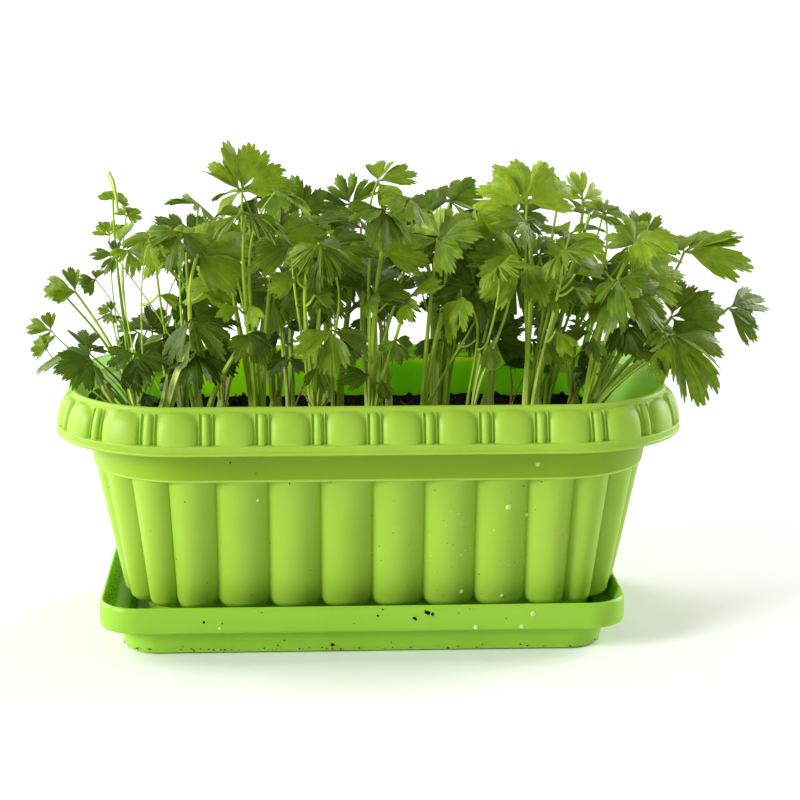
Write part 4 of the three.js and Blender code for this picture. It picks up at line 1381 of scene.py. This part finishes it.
# Dead stems among the crowns, and four pale folded shoots at the left
litter = {
    "stems": 20,
    "reach": (18, 62),
    "pitch": (0.5, 1.35),  # in radians above level
    "thick": (0.35, 0.8),
    "radii": (1, 0.95, 0.9, 0.75, 0.4),  # as shares of that, from foot to tip
    # Each shoot as its path and its radii, in mm
    "shoots": (
        (
            ((-133, -63, 131), (-129, -65, 150), (-122, -66, 172), (-116, -66, 190), (-113, -66, 199)),
            (1.7, 2.1, 2.9, 2.3, 0.5),
        ),
        (((-137, -62, 131), (-134, -64, 146), (-129, -66, 164), (-127, -66, 178)), (1.2, 1.7, 1.5, 0.4)),
        (
            ((-160, -1, 271), (-161, -1, 281), (-163, -1, 291), (-165, -1, 297), (-166, -1, 292)),
            (0.6, 0.9, 1.3, 1.1, 0.4),
        ),
        (((-152, -44, 131), (-158, -48, 150), (-167, -52, 166), (-171, -50, 176)), (0.7, 1.1, 1.6, 0.5)),
    ),
}


def driedSkin():  # dead stalk: straw to reddish brown, matt and fibrous
    material, shader = newMaterial("driedStalk", Roughness=0.8, IOR=1.4)
    place = (addNode(material, "TexCoord"), "Object")
    fibres = addNode(material, "TexNoise", Scale=600, Detail=3, Vector=place)  # fibres of 1 to 2 mm
    stops = [(0.2, "#4A2E1A"), (0.5, "#8A6238"), (0.75, "#B79A5E"), (1.0, "#DDD0A0")]
    colour = ramp(material, (tonedShade(material, fibres, 0.4), 0), stops)
    setSockets(material, shader, {"Base Color": (colour, "Color")})
    return material


def makeLitter():
    chance = random.Random(23)
    mesh = newGrowth()
    edge = inset(bodyAt(ground["level"]), 9)
    for _ in range(litter["stems"]):
        x, y = chance.uniform(-1, 1) * (edge["halfX"] - 12), chance.uniform(-1, 0.6) * (edge["halfY"] - 10)
        reach, bearing = chance.uniform(*litter["reach"]), chance.uniform(0, 6.28)
        pitch = chance.uniform(*litter["pitch"])
        level = math.cos(pitch)
        way = (math.cos(bearing) * level, math.sin(bearing) * level * 0.5, math.sin(pitch))
        bow = chance.uniform(-0.12, 0.12) * reach
        start = (x, y, ground["level"] - 1)
        path = bentPath(start, way, reach, (1, 0.3, -0.4), bow, (0, 0.25, 0.5, 0.75, 1))
        if beyond(path[-1][0], path[-1][1], edge) > 0:
            continue
        shade = chance.uniform(0.05, 0.6)
        thick = chance.uniform(*litter["thick"])
        addTube(mesh, path, [thick * k for k in litter["radii"]], lambda share: shade + 0.1 * share, 0.2)
    count = len(mesh["faces"])
    for path, radii in litter["shoots"]:
        addTube(mesh, path, radii, lambda share: 0.86 + 0.1 * share, 0.3)
    mesh["finish"][:count] = [0] * count
    finishGrowth("dead_stems_and_shoots", mesh, None, driedSkin(), stalkFinish)


makeLitter()
print("litter laid")

# Plain soft studio: a broad key light from the left and front, two more from the left and right behind, an
# even pale surround and a pale floor
studio = {
    "surround": 0.46,
    "floorSize": 40, "floorTop": -0.0004,  # in metres
    "lights": {  # strength in W/m2, spread in degrees, and where the light comes from
        "key": (3.2, 22, (-0.8, -0.4, 0.36)),
        "leftBehind": (2.4, 40, (-0.8, 0.4, 0.4)),
        "rightBehind": (2.8, 40, (0.85, 0.42, 0.4)),
    },
}


def setStudio():
    bpy.ops.object.select_all(action="DESELECT")
    bpy.ops.mesh.primitive_plane_add(size=studio["floorSize"], location=(0, 0, studio["floorTop"]))
    floor = bpy.context.object
    floor.name = "floor"
    paper, _ = newMaterial("palePaper", Roughness=0.7, Base_Color=linear("#F4F4F2"))
    floor.data.materials.append(paper)
    world = bpy.data.worlds.new("studio")
    world.use_nodes = True
    surround = {"Strength": studio["surround"], "Color": (1, 1, 1, 1)}
    setSockets(world, world.node_tree.nodes["Background"], surround)
    bpy.context.scene.world = world
    for name, (strength, wide, source) in studio["lights"].items():
        bpy.ops.object.light_add(type="SUN", rotation=Vector(source).to_track_quat("Z", "Y").to_euler())
        light = bpy.context.object
        light.name = light.data.name = name
        light.data.energy = strength
        light.data.angle = math.radians(wide)
    bpy.context.scene.view_settings.view_transform = "Standard"


setStudio()
print("studio set")
